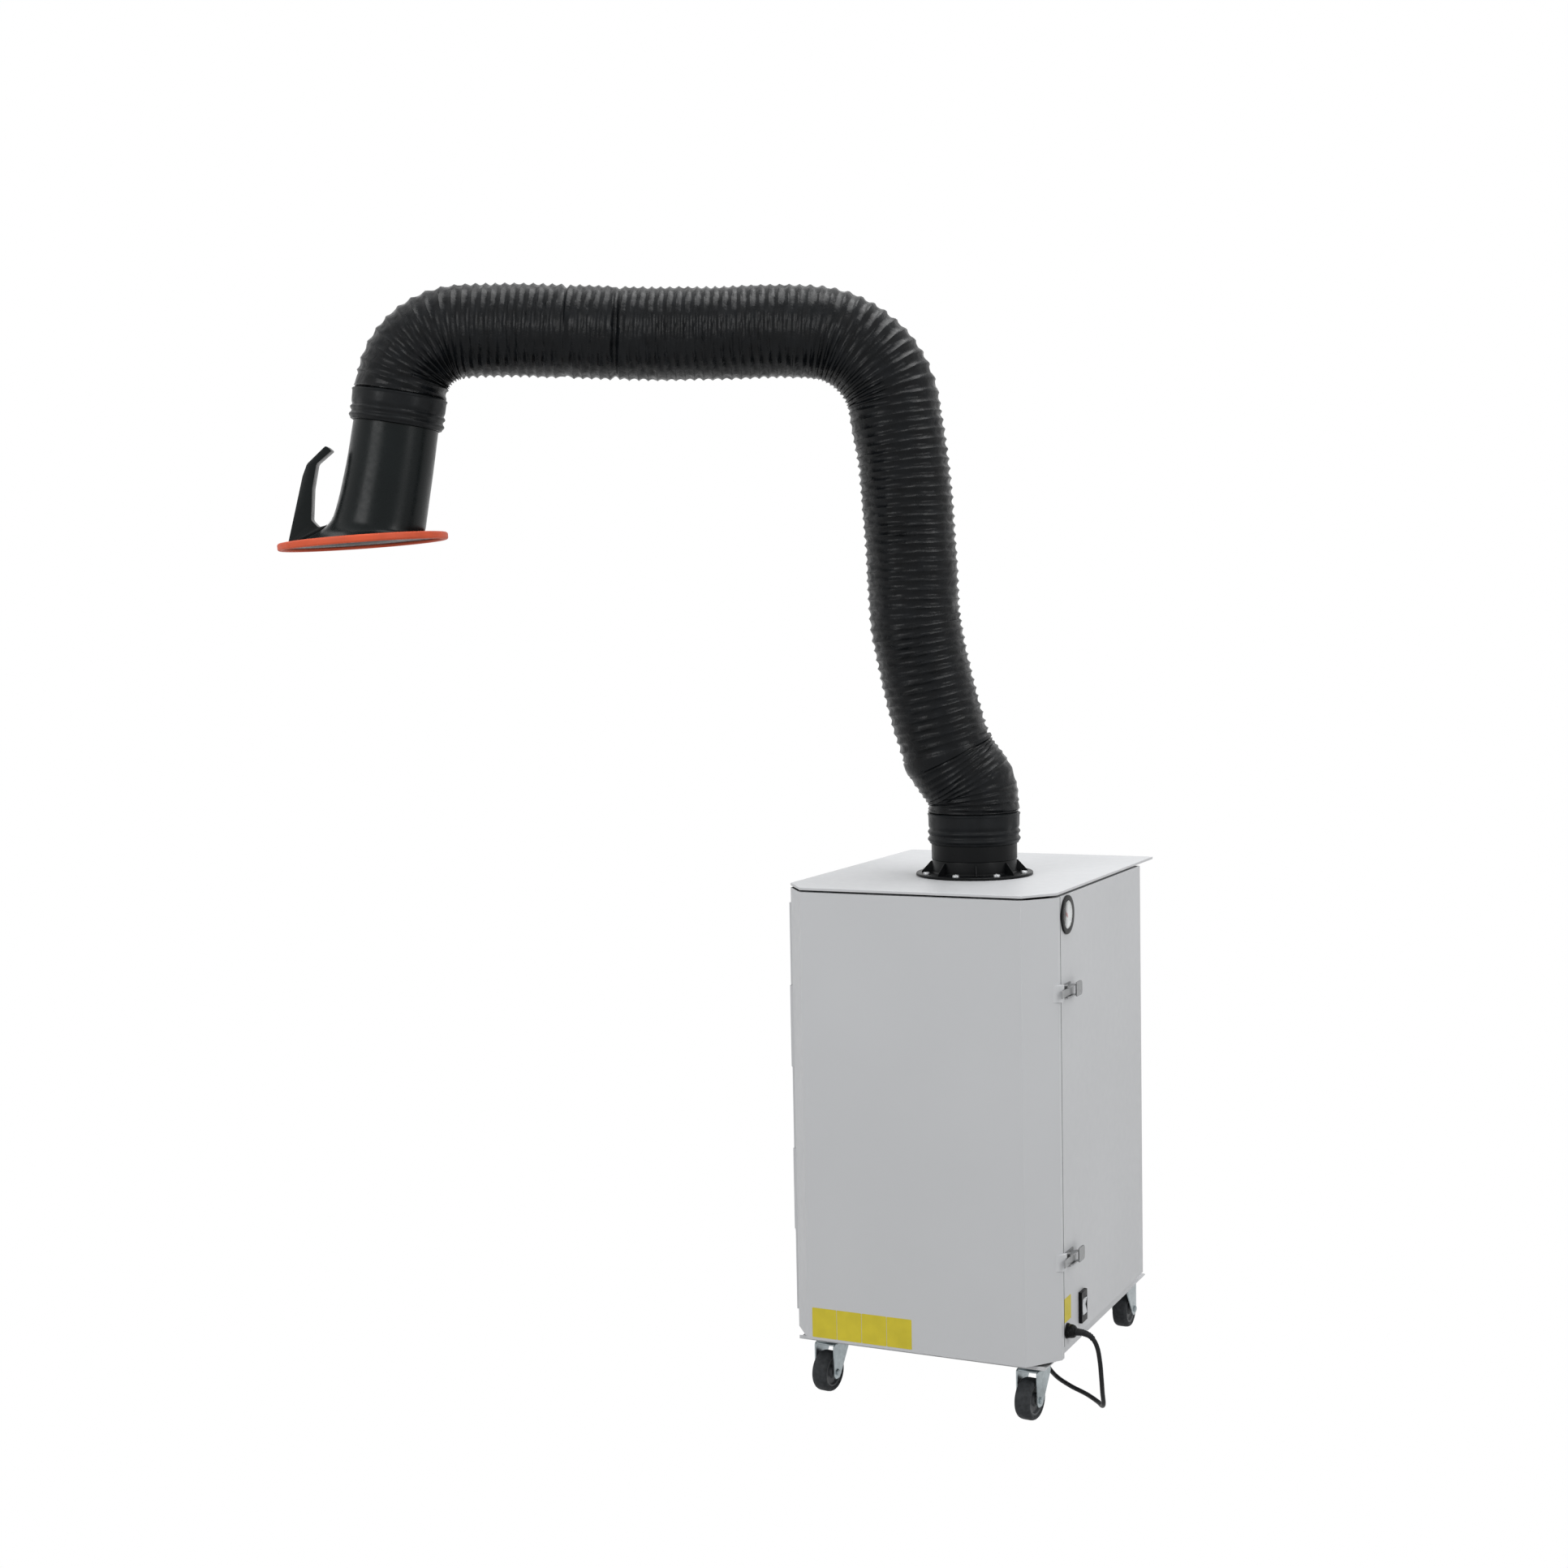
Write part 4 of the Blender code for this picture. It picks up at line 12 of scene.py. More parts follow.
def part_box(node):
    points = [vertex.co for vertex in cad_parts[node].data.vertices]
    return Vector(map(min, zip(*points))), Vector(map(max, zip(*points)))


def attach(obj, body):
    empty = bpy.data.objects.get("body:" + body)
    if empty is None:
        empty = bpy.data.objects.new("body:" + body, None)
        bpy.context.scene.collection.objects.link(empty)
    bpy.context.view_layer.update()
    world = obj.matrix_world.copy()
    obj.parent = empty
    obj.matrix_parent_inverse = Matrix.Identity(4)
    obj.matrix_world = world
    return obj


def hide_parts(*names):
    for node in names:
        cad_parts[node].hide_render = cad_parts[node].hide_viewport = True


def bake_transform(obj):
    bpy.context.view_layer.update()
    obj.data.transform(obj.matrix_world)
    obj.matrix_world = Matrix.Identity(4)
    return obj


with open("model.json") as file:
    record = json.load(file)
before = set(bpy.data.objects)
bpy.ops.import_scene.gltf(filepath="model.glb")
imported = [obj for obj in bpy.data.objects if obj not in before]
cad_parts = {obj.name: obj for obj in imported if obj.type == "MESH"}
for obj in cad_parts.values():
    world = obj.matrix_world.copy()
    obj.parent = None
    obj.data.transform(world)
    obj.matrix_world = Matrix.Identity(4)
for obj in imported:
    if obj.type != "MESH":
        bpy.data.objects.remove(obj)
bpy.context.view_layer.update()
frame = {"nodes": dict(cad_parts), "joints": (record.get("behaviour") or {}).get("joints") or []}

# Places that come from the frame
FULL_TURN = 2 * math.pi
JOINTS = {joint["name"]: joint for joint in frame["joints"]}
COVER_LOW, COVER_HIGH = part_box("top_cover")
DOOR_LOW, DOOR_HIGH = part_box("door")
CABINET_DEPTH = 0.568
MIDDLE_X = (COVER_LOW.x + COVER_HIGH.x) / 2
MIDDLE_Y = DOOR_LOW.y + CABINET_DEPTH / 2
SHIFT = Vector((MIDDLE_X, MIDDLE_Y, 0))
COVER_TOP = COVER_HIGH.z
SEAT = 0.0003


def joint_at(name):
    return Vector(JOINTS[name]["pos_m"])


def cabinet(x, y, z):
    """A point given about the cabinet's middle."""
    return Vector((x, y, z)) + SHIFT


def in_scene(name, data):
    made = bpy.data.objects.new(name, data)
    bpy.context.scene.collection.objects.link(made)
    return made


# Viewpoint, about the cabinet's middle
CAMERA_PLACE = (1.5202, -3.9673, 1.4655)
CAMERA_YAW = math.radians(25.5428)
CAMERA_DROP = math.radians(4.4263)
CAMERA_ROLL = math.radians(-1.1361)
CAMERA_LENS_MM = 51.474
CAMERA_FILM_MM = 36.0
CAMERA_REACH = 100.0


def add_camera():
    data = bpy.data.cameras.new("camera")
    data.lens = CAMERA_LENS_MM
    data.sensor_width = CAMERA_FILM_MM
    data.clip_end = CAMERA_REACH
    camera = in_scene("camera", data)
    along = Vector((
        -math.sin(CAMERA_YAW) * math.cos(CAMERA_DROP), math.cos(CAMERA_YAW) * math.cos(CAMERA_DROP),
        -math.sin(CAMERA_DROP),
    ))
    right = along.cross(Vector((0, 0, 1))).normalized()
    up = right.cross(along)
    level = math.cos(CAMERA_ROLL) * right + math.sin(CAMERA_ROLL) * up
    rise = math.cos(CAMERA_ROLL) * up - math.sin(CAMERA_ROLL) * right
    turn = Matrix((level, rise, -along)).transposed().to_4x4()
    camera.matrix_world = Matrix.Translation(cabinet(*CAMERA_PLACE)) @ turn
    bpy.context.scene.camera = camera


# Materials

GRAIN_ROUGHNESS = 0.55
GRAIN_RANGE = (0.3, 0.7)
CELL_SCALE = 140.0
MIX_FACTOR = 0
MIX_COLOURS = (6, 7)
MIX_RESULT = 2


def shader_of(name, colour, roughness, metallic=0.0, **more):
    made = bpy.data.materials.new(name)
    made.use_nodes = True
    shader = made.node_tree.nodes["Principled BSDF"]
    shader.inputs["Base Color"].default_value = (*colour, 1.0)
    shader.inputs["Roughness"].default_value = roughness
    shader.inputs["Metallic"].default_value = metallic
    for key, value in more.items():
        shader.inputs[key.replace("_", " ").title().replace("Ior", "IOR")].default_value = value
    return made, shader


def node(tree, kind, **settings):
    found = tree.nodes.new(kind)
    for key, value in settings.items():
        if key in found.inputs:
            found.inputs[key].default_value = value
        else:
            setattr(found, key, value)
    return found


def on_object(tree, kind, **settings):
    """A texture laid in the object's own space."""
    texture = node(tree, kind, **settings)
    tree.links.new(node(tree, "ShaderNodeTexCoord").outputs["Object"], texture.inputs["Vector"])
    return texture


def grain(tree, scale, detail):
    settings = {"Scale": scale, "Detail": detail, "Roughness": GRAIN_ROUGHNESS}
    return on_object(tree, "ShaderNodeTexNoise", **settings).outputs["Fac"]


def spread(tree, value, low, high):
    """A texture's middle range drawn out between two values."""
    ranged = node(tree, "ShaderNodeMapRange")
    for key, number in zip(("From Min", "From Max", "To Min", "To Max"), (*GRAIN_RANGE, low, high)):
        ranged.inputs[key].default_value = number
    tree.links.new(value, ranged.inputs["Value"])
    return ranged.outputs["Result"]


def textured(name, colour, roughness, tones, drift, wear, relief, metallic=0.0, **more):
    """A finish whose tone and roughness drift, with a fine relief. Without a drift its tone is in cells.

    Tones are shares of the colour. Drift is a scale and a detail, wear has the least and most roughness
    after them, and relief has its height and strength.
    """
    made, shader = shader_of(name, colour, roughness, metallic, **more)
    tree = made.node_tree
    if drift:
        tone = spread(tree, grain(tree, *drift), 0.0, 1.0)
    else:
        tone = on_object(tree, "ShaderNodeTexVoronoi", Scale=CELL_SCALE).outputs["Color"]
    mix = node(tree, "ShaderNodeMix", data_type="RGBA")
    for slot, share in zip(MIX_COLOURS, tones):
        mix.inputs[slot].default_value = (*(value * share for value in colour), 1.0)
    tree.links.new(tone, mix.inputs[MIX_FACTOR])
    tree.links.new(mix.outputs[MIX_RESULT], shader.inputs["Base Color"])
    scale, detail, least, most = wear
    tree.links.new(spread(tree, grain(tree, scale, detail), least, most), shader.inputs["Roughness"])
    scale, detail, height, strength = relief
    bump = node(tree, "ShaderNodeBump", Strength=strength, Distance=height)
    tree.links.new(grain(tree, scale, detail), bump.inputs["Height"])
    tree.links.new(bump.outputs["Normal"], shader.inputs["Normal"])
    return made


def zinc(name, colour):
    wear, relief = (220.0, 3, 0.28, 0.46), (900.0, 2, 0.00005, 0.4)
    return textured(name, colour, 0.36, (0.86, 1.10), None, wear, relief, 0.85)


def rubber(name, colour, roughness, folds):
    wear, relief = (150.0, 3, roughness - 0.1, roughness + 0.1), (700.0, 3, 0.0002, 0.4)
    return textured(name, colour, roughness, (0.8, 1.35), (folds, 3), wear, relief, specular_ior_level=0.12)


def moulded(name, colour, roughness, texture=0.00008, gloss=0.35):
    """Moulded plastic: a fine eroded texture and a faint drift of tone."""
    wear, relief = (90.0, 3, roughness - 0.06, roughness + 0.06), (1100.0, 2, texture, 0.4)
    return textured(name, colour, roughness, (0.92, 1.08), (25.0, 2), wear, relief, specular_ior_level=gloss)


def seen_directly(tree):
    """One for rays from the eye, off a gloss or through glass, and zero for the light's own."""
    path = node(tree, "ShaderNodeLightPath")
    seen = path.outputs["Is Camera Ray"]
    for name in ("Is Glossy Ray", "Is Transmission Ray"):
        more = node(tree, "ShaderNodeMath", operation="MAXIMUM")
        tree.links.new(seen, more.inputs[0])
        tree.links.new(path.outputs[name], more.inputs[1])
        seen = more.outputs[0]
    return seen


def shown_white(tree, lit, white, output):
    """White where it is seen directly, and its own tone where it lights the object."""
    mix = node(tree, "ShaderNodeMixShader")
    for start, end in zip((seen_directly(tree), lit.outputs[0], white.outputs[0]), mix.inputs):
        tree.links.new(start, end)
    tree.links.new(mix.outputs[0], tree.nodes[output].inputs["Surface"])


FINISH = {
    "powder": textured(
        "powder_coat", (0.60, 0.61, 0.625), 0.48, (0.965, 1.0), (3.0, 2), (60.0, 2, 0.42, 0.54),
        (1500.0, 2, 0.00010, 0.35),
    ),
    "zinc": zinc("zinc_plate", (0.36, 0.405, 0.42)),
    "chrome": zinc("latch_plate", (0.27, 0.275, 0.28)),
    "steel": zinc("plain_steel", (0.48, 0.49, 0.50)),
    "hose": textured(
        "hose_cloth", (0.0028, 0.0034, 0.0042), 0.4, (0.7, 1.7), (34.0, 4), (70.0, 3, 0.20, 0.42),
        (160.0, 4, 0.0009, 0.7), specular_ior_level=0.14,
    ),
    "cuff": rubber("cuff_rubber", (0.0075, 0.0085, 0.0095), 0.36, 45.0),
    "gasket": rubber("gasket_rubber", (0.018, 0.019, 0.021), 0.5, 60.0),
    "cord": rubber("cord_sheath", (0.016, 0.017, 0.018), 0.48, 90.0),
    "tyre": rubber("tyre_rubber", (0.040, 0.043, 0.046), 0.62, 120.0),
    "hub": moulded("wheel_hub", (0.075, 0.080, 0.085), 0.5),
    "hood": moulded("hood_plastic", (0.0040, 0.0062, 0.0066), 0.28, 0.00002, 0.15),
    "rim": moulded("orange_strip", (0.66, 0.095, 0.035), 0.55),
    "plastic": moulded("black_plastic", (0.0040, 0.0045, 0.0050), 0.38, gloss=0.12),
    "pale": moulded("pale_plastic", (0.58, 0.60, 0.62), 0.35),
    "dial": moulded("dial_paint", (0.78, 0.79, 0.78), 0.5),
    "yellow": moulded("yellow_plate", (0.66, 0.55, 0.035), 0.5),
    "red": moulded("red_paint", (0.45, 0.02, 0.02), 0.4),
    "paper": moulded("filter_medium", (0.74, 0.72, 0.64), 0.85, 0.0004),
    "motor": moulded("motor_paint", (0.10, 0.12, 0.14), 0.45),
    "brass": shader_of("brass_pin", (0.62, 0.50, 0.26), 0.28, 1.0)[0],
    "lens": shader_of("clear_lens", (0.96, 0.97, 0.98), 0.04, transmission_weight=1.0, ior=1.45)[0],
}
SHARP = math.radians(32)
WIDE_FACE = 0.002
FLAT = math.radians(1.0)
WELD = 0.00002
NEARLY_STRAIGHT = 0.02
NEARLY_UPRIGHT = 0.9
LARGE_SIDES = 128
SIDES = 96
HUB_SIDES = 72
SMALL_SIDES = 64
BARREL_SIDES = 48
BOLT_SIDES = 28
PIN_SIDES = 20


# Mesh helpers

def placed(name, data, finish, body, replaced=()):
    """A finished piece on its body, standing for the CAD nodes that it replaces."""
    data.name = name
    piece = in_scene(name, data)
    data.materials.clear()
    data.materials.append(FINISH[finish])
    data.shade_smooth()
    data.set_sharp_from_angle(angle=SHARP)
    if body:
        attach(piece, body)
    if replaced:
        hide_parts(*replaced)
    return piece


def as_mesh(shape):
    data = bpy.data.meshes.new("shape")
    shape.to_mesh(data)
    shape.free()
    return data


def from_bmesh(shape):
    bmesh.ops.recalc_face_normals(shape, faces=shape.faces)
    return as_mesh(shape)


def circle(radius, sides):
    angles = [FULL_TURN * i / sides for i in range(sides)]
    return [(radius * math.cos(a), radius * math.sin(a)) for a in angles]


def rectangle(left, low, right, high):
    return [(left, low), (right, low), (right, high), (left, high)]


def quarter(steps):
    return [math.pi / 2 * i / steps for i in range(1, steps + 1)]


def shoulder(radius, low, inward, rise, steps):
    """A turned edge that rounds inward as it rises."""
    return [(radius - inward * (1 - math.cos(a)), low + rise * math.sin(a)) for a in quarter(steps)]


def fillet(points, radius, steps=4, closed=True):
    """An outline with its corners rounded, each by no more than its sides allow."""
    points = [Vector(point) for point in points]
    count = len(points)
    made = []
    for i, point in enumerate(points):
        if not closed and i in (0, count - 1):
            made.append(point)
            continue
        before, after = points[i - 1] - point, points[(i + 1) % count] - point
        reach = min(before.length, after.length) / 2
        a, b = before.normalized(), after.normalized()
        half = a.angle(b) / 2
        if half > math.pi / 2 - NEARLY_STRAIGHT or reach == 0:
            made.append(point)
            continue
        size = min(radius, reach * math.tan(half))
        back = size / math.tan(half)
        centre = point + (a + b).normalized() * size / math.sin(half)
        start, end = point + a * back - centre, point + b * back - centre
        swing = start.angle_signed(end) if start.length and end.length else 0
        for step in range(steps + 1):
            turn = -swing * step / steps
            cos, sin = math.cos(turn), math.sin(turn)
            made.append(centre + Vector((start.x * cos - start.y * sin, start.x * sin + start.y * cos)))
    return made


def skinned(shape, rings, closed=False):
    """Faces between rings of vertices, each ring closed on itself."""
    pairs = list(zip(rings, rings[1:]))
    if closed:
        pairs.append((rings[-1], rings[0]))
    for ring, after in pairs:
        count = max(len(ring), len(after))
        for i in range(count):
            j = (i + 1) % count
            corners = [ring[i % len(ring)], ring[j % len(ring)], after[j % len(after)], after[i % len(after)]]
            corners = list(dict.fromkeys(corners))
            if len(corners) > 2:
                shape.faces.new(corners)


def lathe(profile, place, sides=SIDES, closed=True, shape=None):
    """A profile of radius and height turned about Z. Zero radius closes it."""
    own = shape is None
    shape = shape or bmesh.new()
    rings = []
    for radius, height in profile:
        ring = circle(radius, sides) if radius > 0 else [(0, 0)]
        rings.append([shape.verts.new(place @ Vector((x, y, height))) for x, y in ring])
    skinned(shape, rings, closed)
    return from_bmesh(shape) if own else shape


def pushed(outline, low, high, place, shape=None, edge=0.0):
    """An outline pushed along Z between two levels, its edges broken by a small bevel."""
    own = shape is None
    shape = shape or bmesh.new()
    outline = [Vector(point) for point in outline]
    middle = sum(outline, Vector((0, 0))) / len(outline)
    levels = [(low, 0.0), (high, 0.0)]
    if edge:
        levels = [(low, edge), (low + edge, 0.0), (high - edge, 0.0), (high, edge)]
    rings = []
    for level, inset in levels:
        ring = []
        for point in outline:
            drawn = point + (middle - point).normalized() * inset
            ring.append(shape.verts.new(place @ Vector((drawn.x, drawn.y, level))))
        rings.append(ring)
    skinned(shape, rings)
    shape.faces.new(rings[0])
    shape.faces.new(rings[-1][::-1])
    return from_bmesh(shape) if own else shape


def looking(start, direction):
    return Matrix.Translation(start) @ Vector(direction).to_track_quat("Z", "Y").to_matrix().to_4x4()


def solid_again(node_name, trim=0.0):
    """The solid with its flat faces whole, its edge at the door's seam drawn back by the trim."""
    shape = bmesh.new()
    shape.from_mesh(frame["nodes"][node_name].data)
    for vertex in shape.verts:
        if trim and abs(vertex.co.y - MIDDLE_Y - SEAM - SEAT) < SEAT / 2:
            vertex.co.y += trim
    bmesh.ops.remove_doubles(shape, verts=shape.verts, dist=WELD)
    bmesh.ops.dissolve_limit(shape, angle_limit=FLAT, verts=shape.verts, edges=shape.edges)
    return shape


def round_over(shape, edges, width, steps):
    bmesh.ops.bevel(
        shape, geom=edges, offset=width, offset_type="OFFSET", segments=steps, profile=0.5, affect="EDGES",
        clamp_overlap=True,
    )


def softened(name, node_name, body, finish, width, steps=3, trim=0.0):
    """The solid again, its edges rounded as a bent or moulded sheet has them, its wide faces kept flat."""
    shape = solid_again(node_name, trim)
    sharp = [edge for edge in shape.edges if len(edge.link_faces) == 2 and edge.calc_face_angle(0) > SHARP]
    round_over(shape, sharp, width, steps)
    shape.faces.index_update()
    wide = []
    for face in shape.faces:
        if face.calc_area() > WIDE_FACE * max(edge.calc_length() for edge in face.edges):
            wide.append(face.index)
    data = as_mesh(shape)
    piece = placed(name, data, finish, body, (node_name,))
    for index in wide:
        data.polygons[index].use_smooth = False
    return piece


PLAIN_FINISHES = {
    "zinc": (
        "filter_deck", "dust_tray", "fan_housing", "control_box", "fan_impeller", "lower_link", "upper_link",
        "wrist_bracket",
    ),
    "powder": ("door_hinge",),
    "motor": ("fan_motor",),
    "paper": ("filter_cartridge",),
    "gasket": ("door_gasket",),
    "plastic": ("swivel_pipe",),
}


def finish_plain_solids():
    """The solids that stay as they are, each given its finish."""
    for finish, names in PLAIN_FINISHES.items():
        for name in names:
            slots = frame["nodes"][name].data.materials
            slots.clear()
            slots.append(FINISH[finish])


# Lines and cord

class Line:
    """A line with its running length, read at any length."""

    def __init__(self, points):
        self.points = points
        self.lengths = [0.0]
        for before, after in zip(points, points[1:]):
            self.lengths.append(self.lengths[-1] + (after - before).length)
        self.length = self.lengths[-1]

    def at(self, length):
        i = min(max(bisect.bisect_left(self.lengths, length) - 1, 0), len(self.lengths) - 2)
        span = self.lengths[i + 1] - self.lengths[i]
        return self.points[i].lerp(self.points[i + 1], (length - self.lengths[i]) / span)

    def heading(self, length, reach):
        start, end = max(length - reach, 0.0), min(length + reach, self.length)
        return (self.at(end) - self.at(start)).normalized()

    def nearest(self, point):
        gaps = [(place - point).length for place in self.points]
        return self.lengths[gaps.index(min(gaps))]


def smooth_line(guides, steps=8):
    """A smooth line through points, as many short steps."""
    slopes = []
    last = len(guides) - 1
    for i in range(len(guides)):
        before, after = guides[max(i - 1, 0)], guides[min(i + 1, last)]
        slopes.append((after - before).normalized())
    line = [guides[0]]
    for i in range(last):
        start, end = guides[i], guides[i + 1]
        reach = (end - start).length
        for step in range(1, steps + 1):
            t = step / steps
            bend = (2 * t ** 3 - 3 * t ** 2 + 1) * start + (3 * t ** 2 - 2 * t ** 3) * end
            bend += (t ** 3 - 2 * t ** 2 + t) * reach * slopes[i] + (t ** 3 - t ** 2) * reach * slopes[i + 1]
            line.append(bend)
    return line


CORD_LENGTH = 5.0
CORD_DIAMETER = 0.0085
CORD_EXIT = (0.2773, -0.1945, 0.163)
CORD_FLOOR = CORD_DIAMETER / 2
CORD_DROP = (
    (0.2858, -0.1945, 0.163), (0.291, -0.194, 0.1625), (0.305, -0.194, 0.157), (0.315, -0.192, 0.140),
    (0.319, -0.188, 0.112), (0.319, -0.180, 0.080), (0.317, -0.168, 0.048), (0.313, -0.150, 0.022),
    (0.303, -0.126, 0.0075),
)
CORD_ALONG_FLOOR = (
    (0.286, -0.100), (0.255, -0.070), (0.215, -0.040), (0.172, 0.002), (0.134, 0.060), (0.104, 0.130),
    (0.084, 0.210), (0.068, 0.300), (0.054, 0.390), (0.042, 0.455), (0.034, 0.505), (0.033, 0.527),
    (0.033, 0.535),
)
CORD_BEVEL_STEPS = 4
COIL_LAYERS = 4
COIL_TURNS = 3
COIL_CLIMB = 0.5
COIL_STEP = 0.0103
COIL_RISE = 0.0093
COIL_POINTS = 48
COIL_TAIL = 0.064
COIL_TAIL_STEPS = 16
COIL_TAIL_LEVEL_SHARE = 0.18
PLUG_DIAMETER = 0.044
PLUG_LENGTH = 0.050
PLUG_SHOULDER = 0.0176
PLUG_PIN_LENGTH = 0.019
PLUG_PIN_RADIUS = 0.0024
PLUG_PIN_SPREAD = 0.0095
PLUG_BEAD = 0.0012
PLUG_NECK = ((0.75, 0), (0.80, 0.006), (0.72, 0.0065), (0.86, 0.0125))
PLUG_SLOPE = ((0.92, 0.0225), (1, 0.0255))
PLUG_FACE_SHARE = 0.93
PLUG_RIM = (0.0265, 0.0280)
PLUG_PIN_TIP_SHARE = 0.6
BOOT_LENGTH = 0.034
BOOT_RADIUS = 0.0070
BOOT_END_SHARE = 0.60
BOOT_GROOVE = 0.0006
BOOT_STEPS = 34
BOOT_SIDES = 40
BOOT_REACH = 0.003


def coil_turns():
    """Turns in each layer, the last one a quarter longer so that its end points away."""
    turns = [COIL_TURNS] * COIL_LAYERS
    turns[-1] += COIL_CLIMB / 2
    return turns


def coil_radii(length):
    """The coil's inner and outer radius, from the length that it takes up."""
    turns = sum(coil_turns()) + COIL_CLIMB * (COIL_LAYERS - 1)
    around_share = COIL_POINTS * math.sin(math.pi / COIL_POINTS) / math.pi
    mean = (length - COIL_TAIL) / (FULL_TURN * turns * around_share)
    half = COIL_STEP * COIL_TURNS / 2
    return mean - half, mean + half


def around(middle, radius, turns, height):
    angle = FULL_TURN * turns
    return Vector((middle.x + radius * math.cos(angle), middle.y + radius * math.sin(angle), height))


def coil_line(start, length):
    """The wound line: in and out again in layers, climbing in the half turn where it reverses."""
    inner, outer = coil_radii(length)
    middle = Vector((start.x - outer, start.y + CORD_DIAMETER, start.z))
    step = 1 / COIL_POINTS
    points = [Vector(start), Vector((start.x, start.y + CORD_DIAMETER / 2, start.z))]
    turned_by, radius = 0.0, outer
    for layer, turns in enumerate(coil_turns()):
        rate = -COIL_STEP if layer % 2 == 0 else COIL_STEP
        base = start.z + layer * COIL_RISE
        for i in range(round(turns / step)):
            points.append(around(middle, radius + rate * i * step, turned_by + i * step, base))
        turned_by += turns
        radius += rate * turns
        if layer == COIL_LAYERS - 1:
            break
        for i in range(round(COIL_CLIMB / step)):
            height = base + COIL_RISE * i * step / COIL_CLIMB
            points.append(around(middle, radius, turned_by + i * step, height))
        turned_by += COIL_CLIMB
    end = around(middle, radius, turned_by, base)
    away = Vector((-math.sin(FULL_TURN * turned_by), math.cos(FULL_TURN * turned_by), 0))
    rest = PLUG_DIAMETER / 2 + SEAT
    for i in range(COIL_TAIL_STEPS + 1):
        share = i / COIL_TAIL_STEPS
        ease = min(1, max(0, (share - COIL_TAIL_LEVEL_SHARE) / (1 - 2 * COIL_TAIL_LEVEL_SHARE)))
        ease = ease * ease * (3 - 2 * ease)
        place = end + away * COIL_TAIL * share
        points.append(Vector((place.x, place.y, base + (rest - base) * ease)))
    return points, away


def add_plug(end, away):
    half = PLUG_DIAMETER / 2
    profile = [(0, 0)]
    profile += [(CORD_DIAMETER * share, height) for share, height in PLUG_NECK]
    profile += [(PLUG_SHOULDER * share, height) for share, height in PLUG_SLOPE]
    profile += [
        (half - PLUG_BEAD, PLUG_RIM[0]), (half, PLUG_RIM[1]), (half, PLUG_LENGTH - PLUG_BEAD),
        (half - PLUG_BEAD, PLUG_LENGTH), (half * PLUG_FACE_SHARE, PLUG_LENGTH), (0, PLUG_LENGTH),
    ]
    place = looking(end + away * SEAT, away)
    body = placed("plug_body", lathe(profile, place, SMALL_SIDES, False), "cord", "root", ("plug",))
    low, high = PLUG_LENGTH - SEAT, PLUG_LENGTH + PLUG_PIN_LENGTH
    tip = PLUG_PIN_RADIUS * PLUG_PIN_TIP_SHARE
    pin = [(0, low), (PLUG_PIN_RADIUS, low), (PLUG_PIN_RADIUS, high - tip), (tip, high), (0, high)]
    shape = bmesh.new()
    for x in (-PLUG_PIN_SPREAD, PLUG_PIN_SPREAD):
        lathe(pin, place @ Matrix.Translation((x, 0, 0)), PIN_SIDES, False, shape)
    pins = placed("plug_pins", from_bmesh(shape), "brass", "root")
    return body, pins


def add_cord():
    start = cabinet(*CORD_EXIT)
    guides = [start] + [cabinet(*point) for point in CORD_DROP]
    guides += [cabinet(x, y, CORD_FLOOR) for x, y in CORD_ALONG_FLOOR]
    route = Line(smooth_line(guides))
    coil_start = route.points[-1] + Vector((0, SEAT, 0))
    coil, away = coil_line(coil_start, CORD_LENGTH - route.length)
    points = route.points + coil[1:]
    data = bpy.data.curves.new("cord", "CURVE")
    data.dimensions = "3D"
    data.bevel_depth = CORD_DIAMETER / 2
    data.bevel_resolution = CORD_BEVEL_STEPS
    data.use_fill_caps = True
    spline = data.splines.new("POLY")
    spline.points.add(len(points) - 1)
    for point, place in zip(spline.points, points):
        point.co = (*place, 1)
    spline.use_smooth = True
    data.materials.append(FINISH["cord"])
    cord = in_scene("supply_cord", data)
    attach(cord, "root")
    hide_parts("power_cord", "cord_coil")
    pieces = add_plug(points[-1], away)
    pieces += (add_boot(route),)
    return cord


def add_boot(route):
    """The short ribbed sleeve that guards the cord where it leaves the gland."""
    shape = bmesh.new()
    rings = []
    for i in range(BOOT_STEPS + 1):
        share = i / BOOT_STEPS
        length = BOOT_LENGTH * share
        swell = BOOT_RADIUS + (CORD_DIAMETER * BOOT_END_SHARE - BOOT_RADIUS) * share
        groove = BOOT_GROOVE if i % 4 in (2, 3) and 2 < i < BOOT_STEPS - 2 else 0
        along = route.heading(length, BOOT_REACH)
        rings.append(tube_ring(shape, route.at(length), along, swell - groove))
    skinned(shape, rings)
    shape.faces.new(rings[0])
    shape.faces.new(rings[-1])
    return placed("cord_boot", from_bmesh(shape), "gasket", "root")


def tube_ring(shape, centre, along, radius):
    upright = Vector((0, 0, 1)) if abs(along.z) < NEARLY_UPRIGHT else Vector((0, 1, 0))
    side = along.cross(upright).normalized()
    rise = side.cross(along)
    ring = []
    for i in range(BOOT_SIDES):
        angle = FULL_TURN * i / BOOT_SIDES
        ring.append(shape.verts.new(centre + radius * (math.cos(angle) * side + math.sin(angle) * rise)))
    return ring


# Arm: flange, swivel pipe, cuffs and hose

ARM_FOOT = joint_at("arm_swivel")
SHOULDER = joint_at("shoulder_lean")
ELBOW = joint_at("elbow_fold")
WRIST = joint_at("wrist_tilt")
ARM_TURN = math.atan2(WRIST.y - SHOULDER.y, WRIST.x - SHOULDER.x)
ARM_PLACE = Matrix.Translation((ARM_FOOT.x, ARM_FOOT.y, 0)) @ Matrix.Rotation(ARM_TURN, 4, "Z")


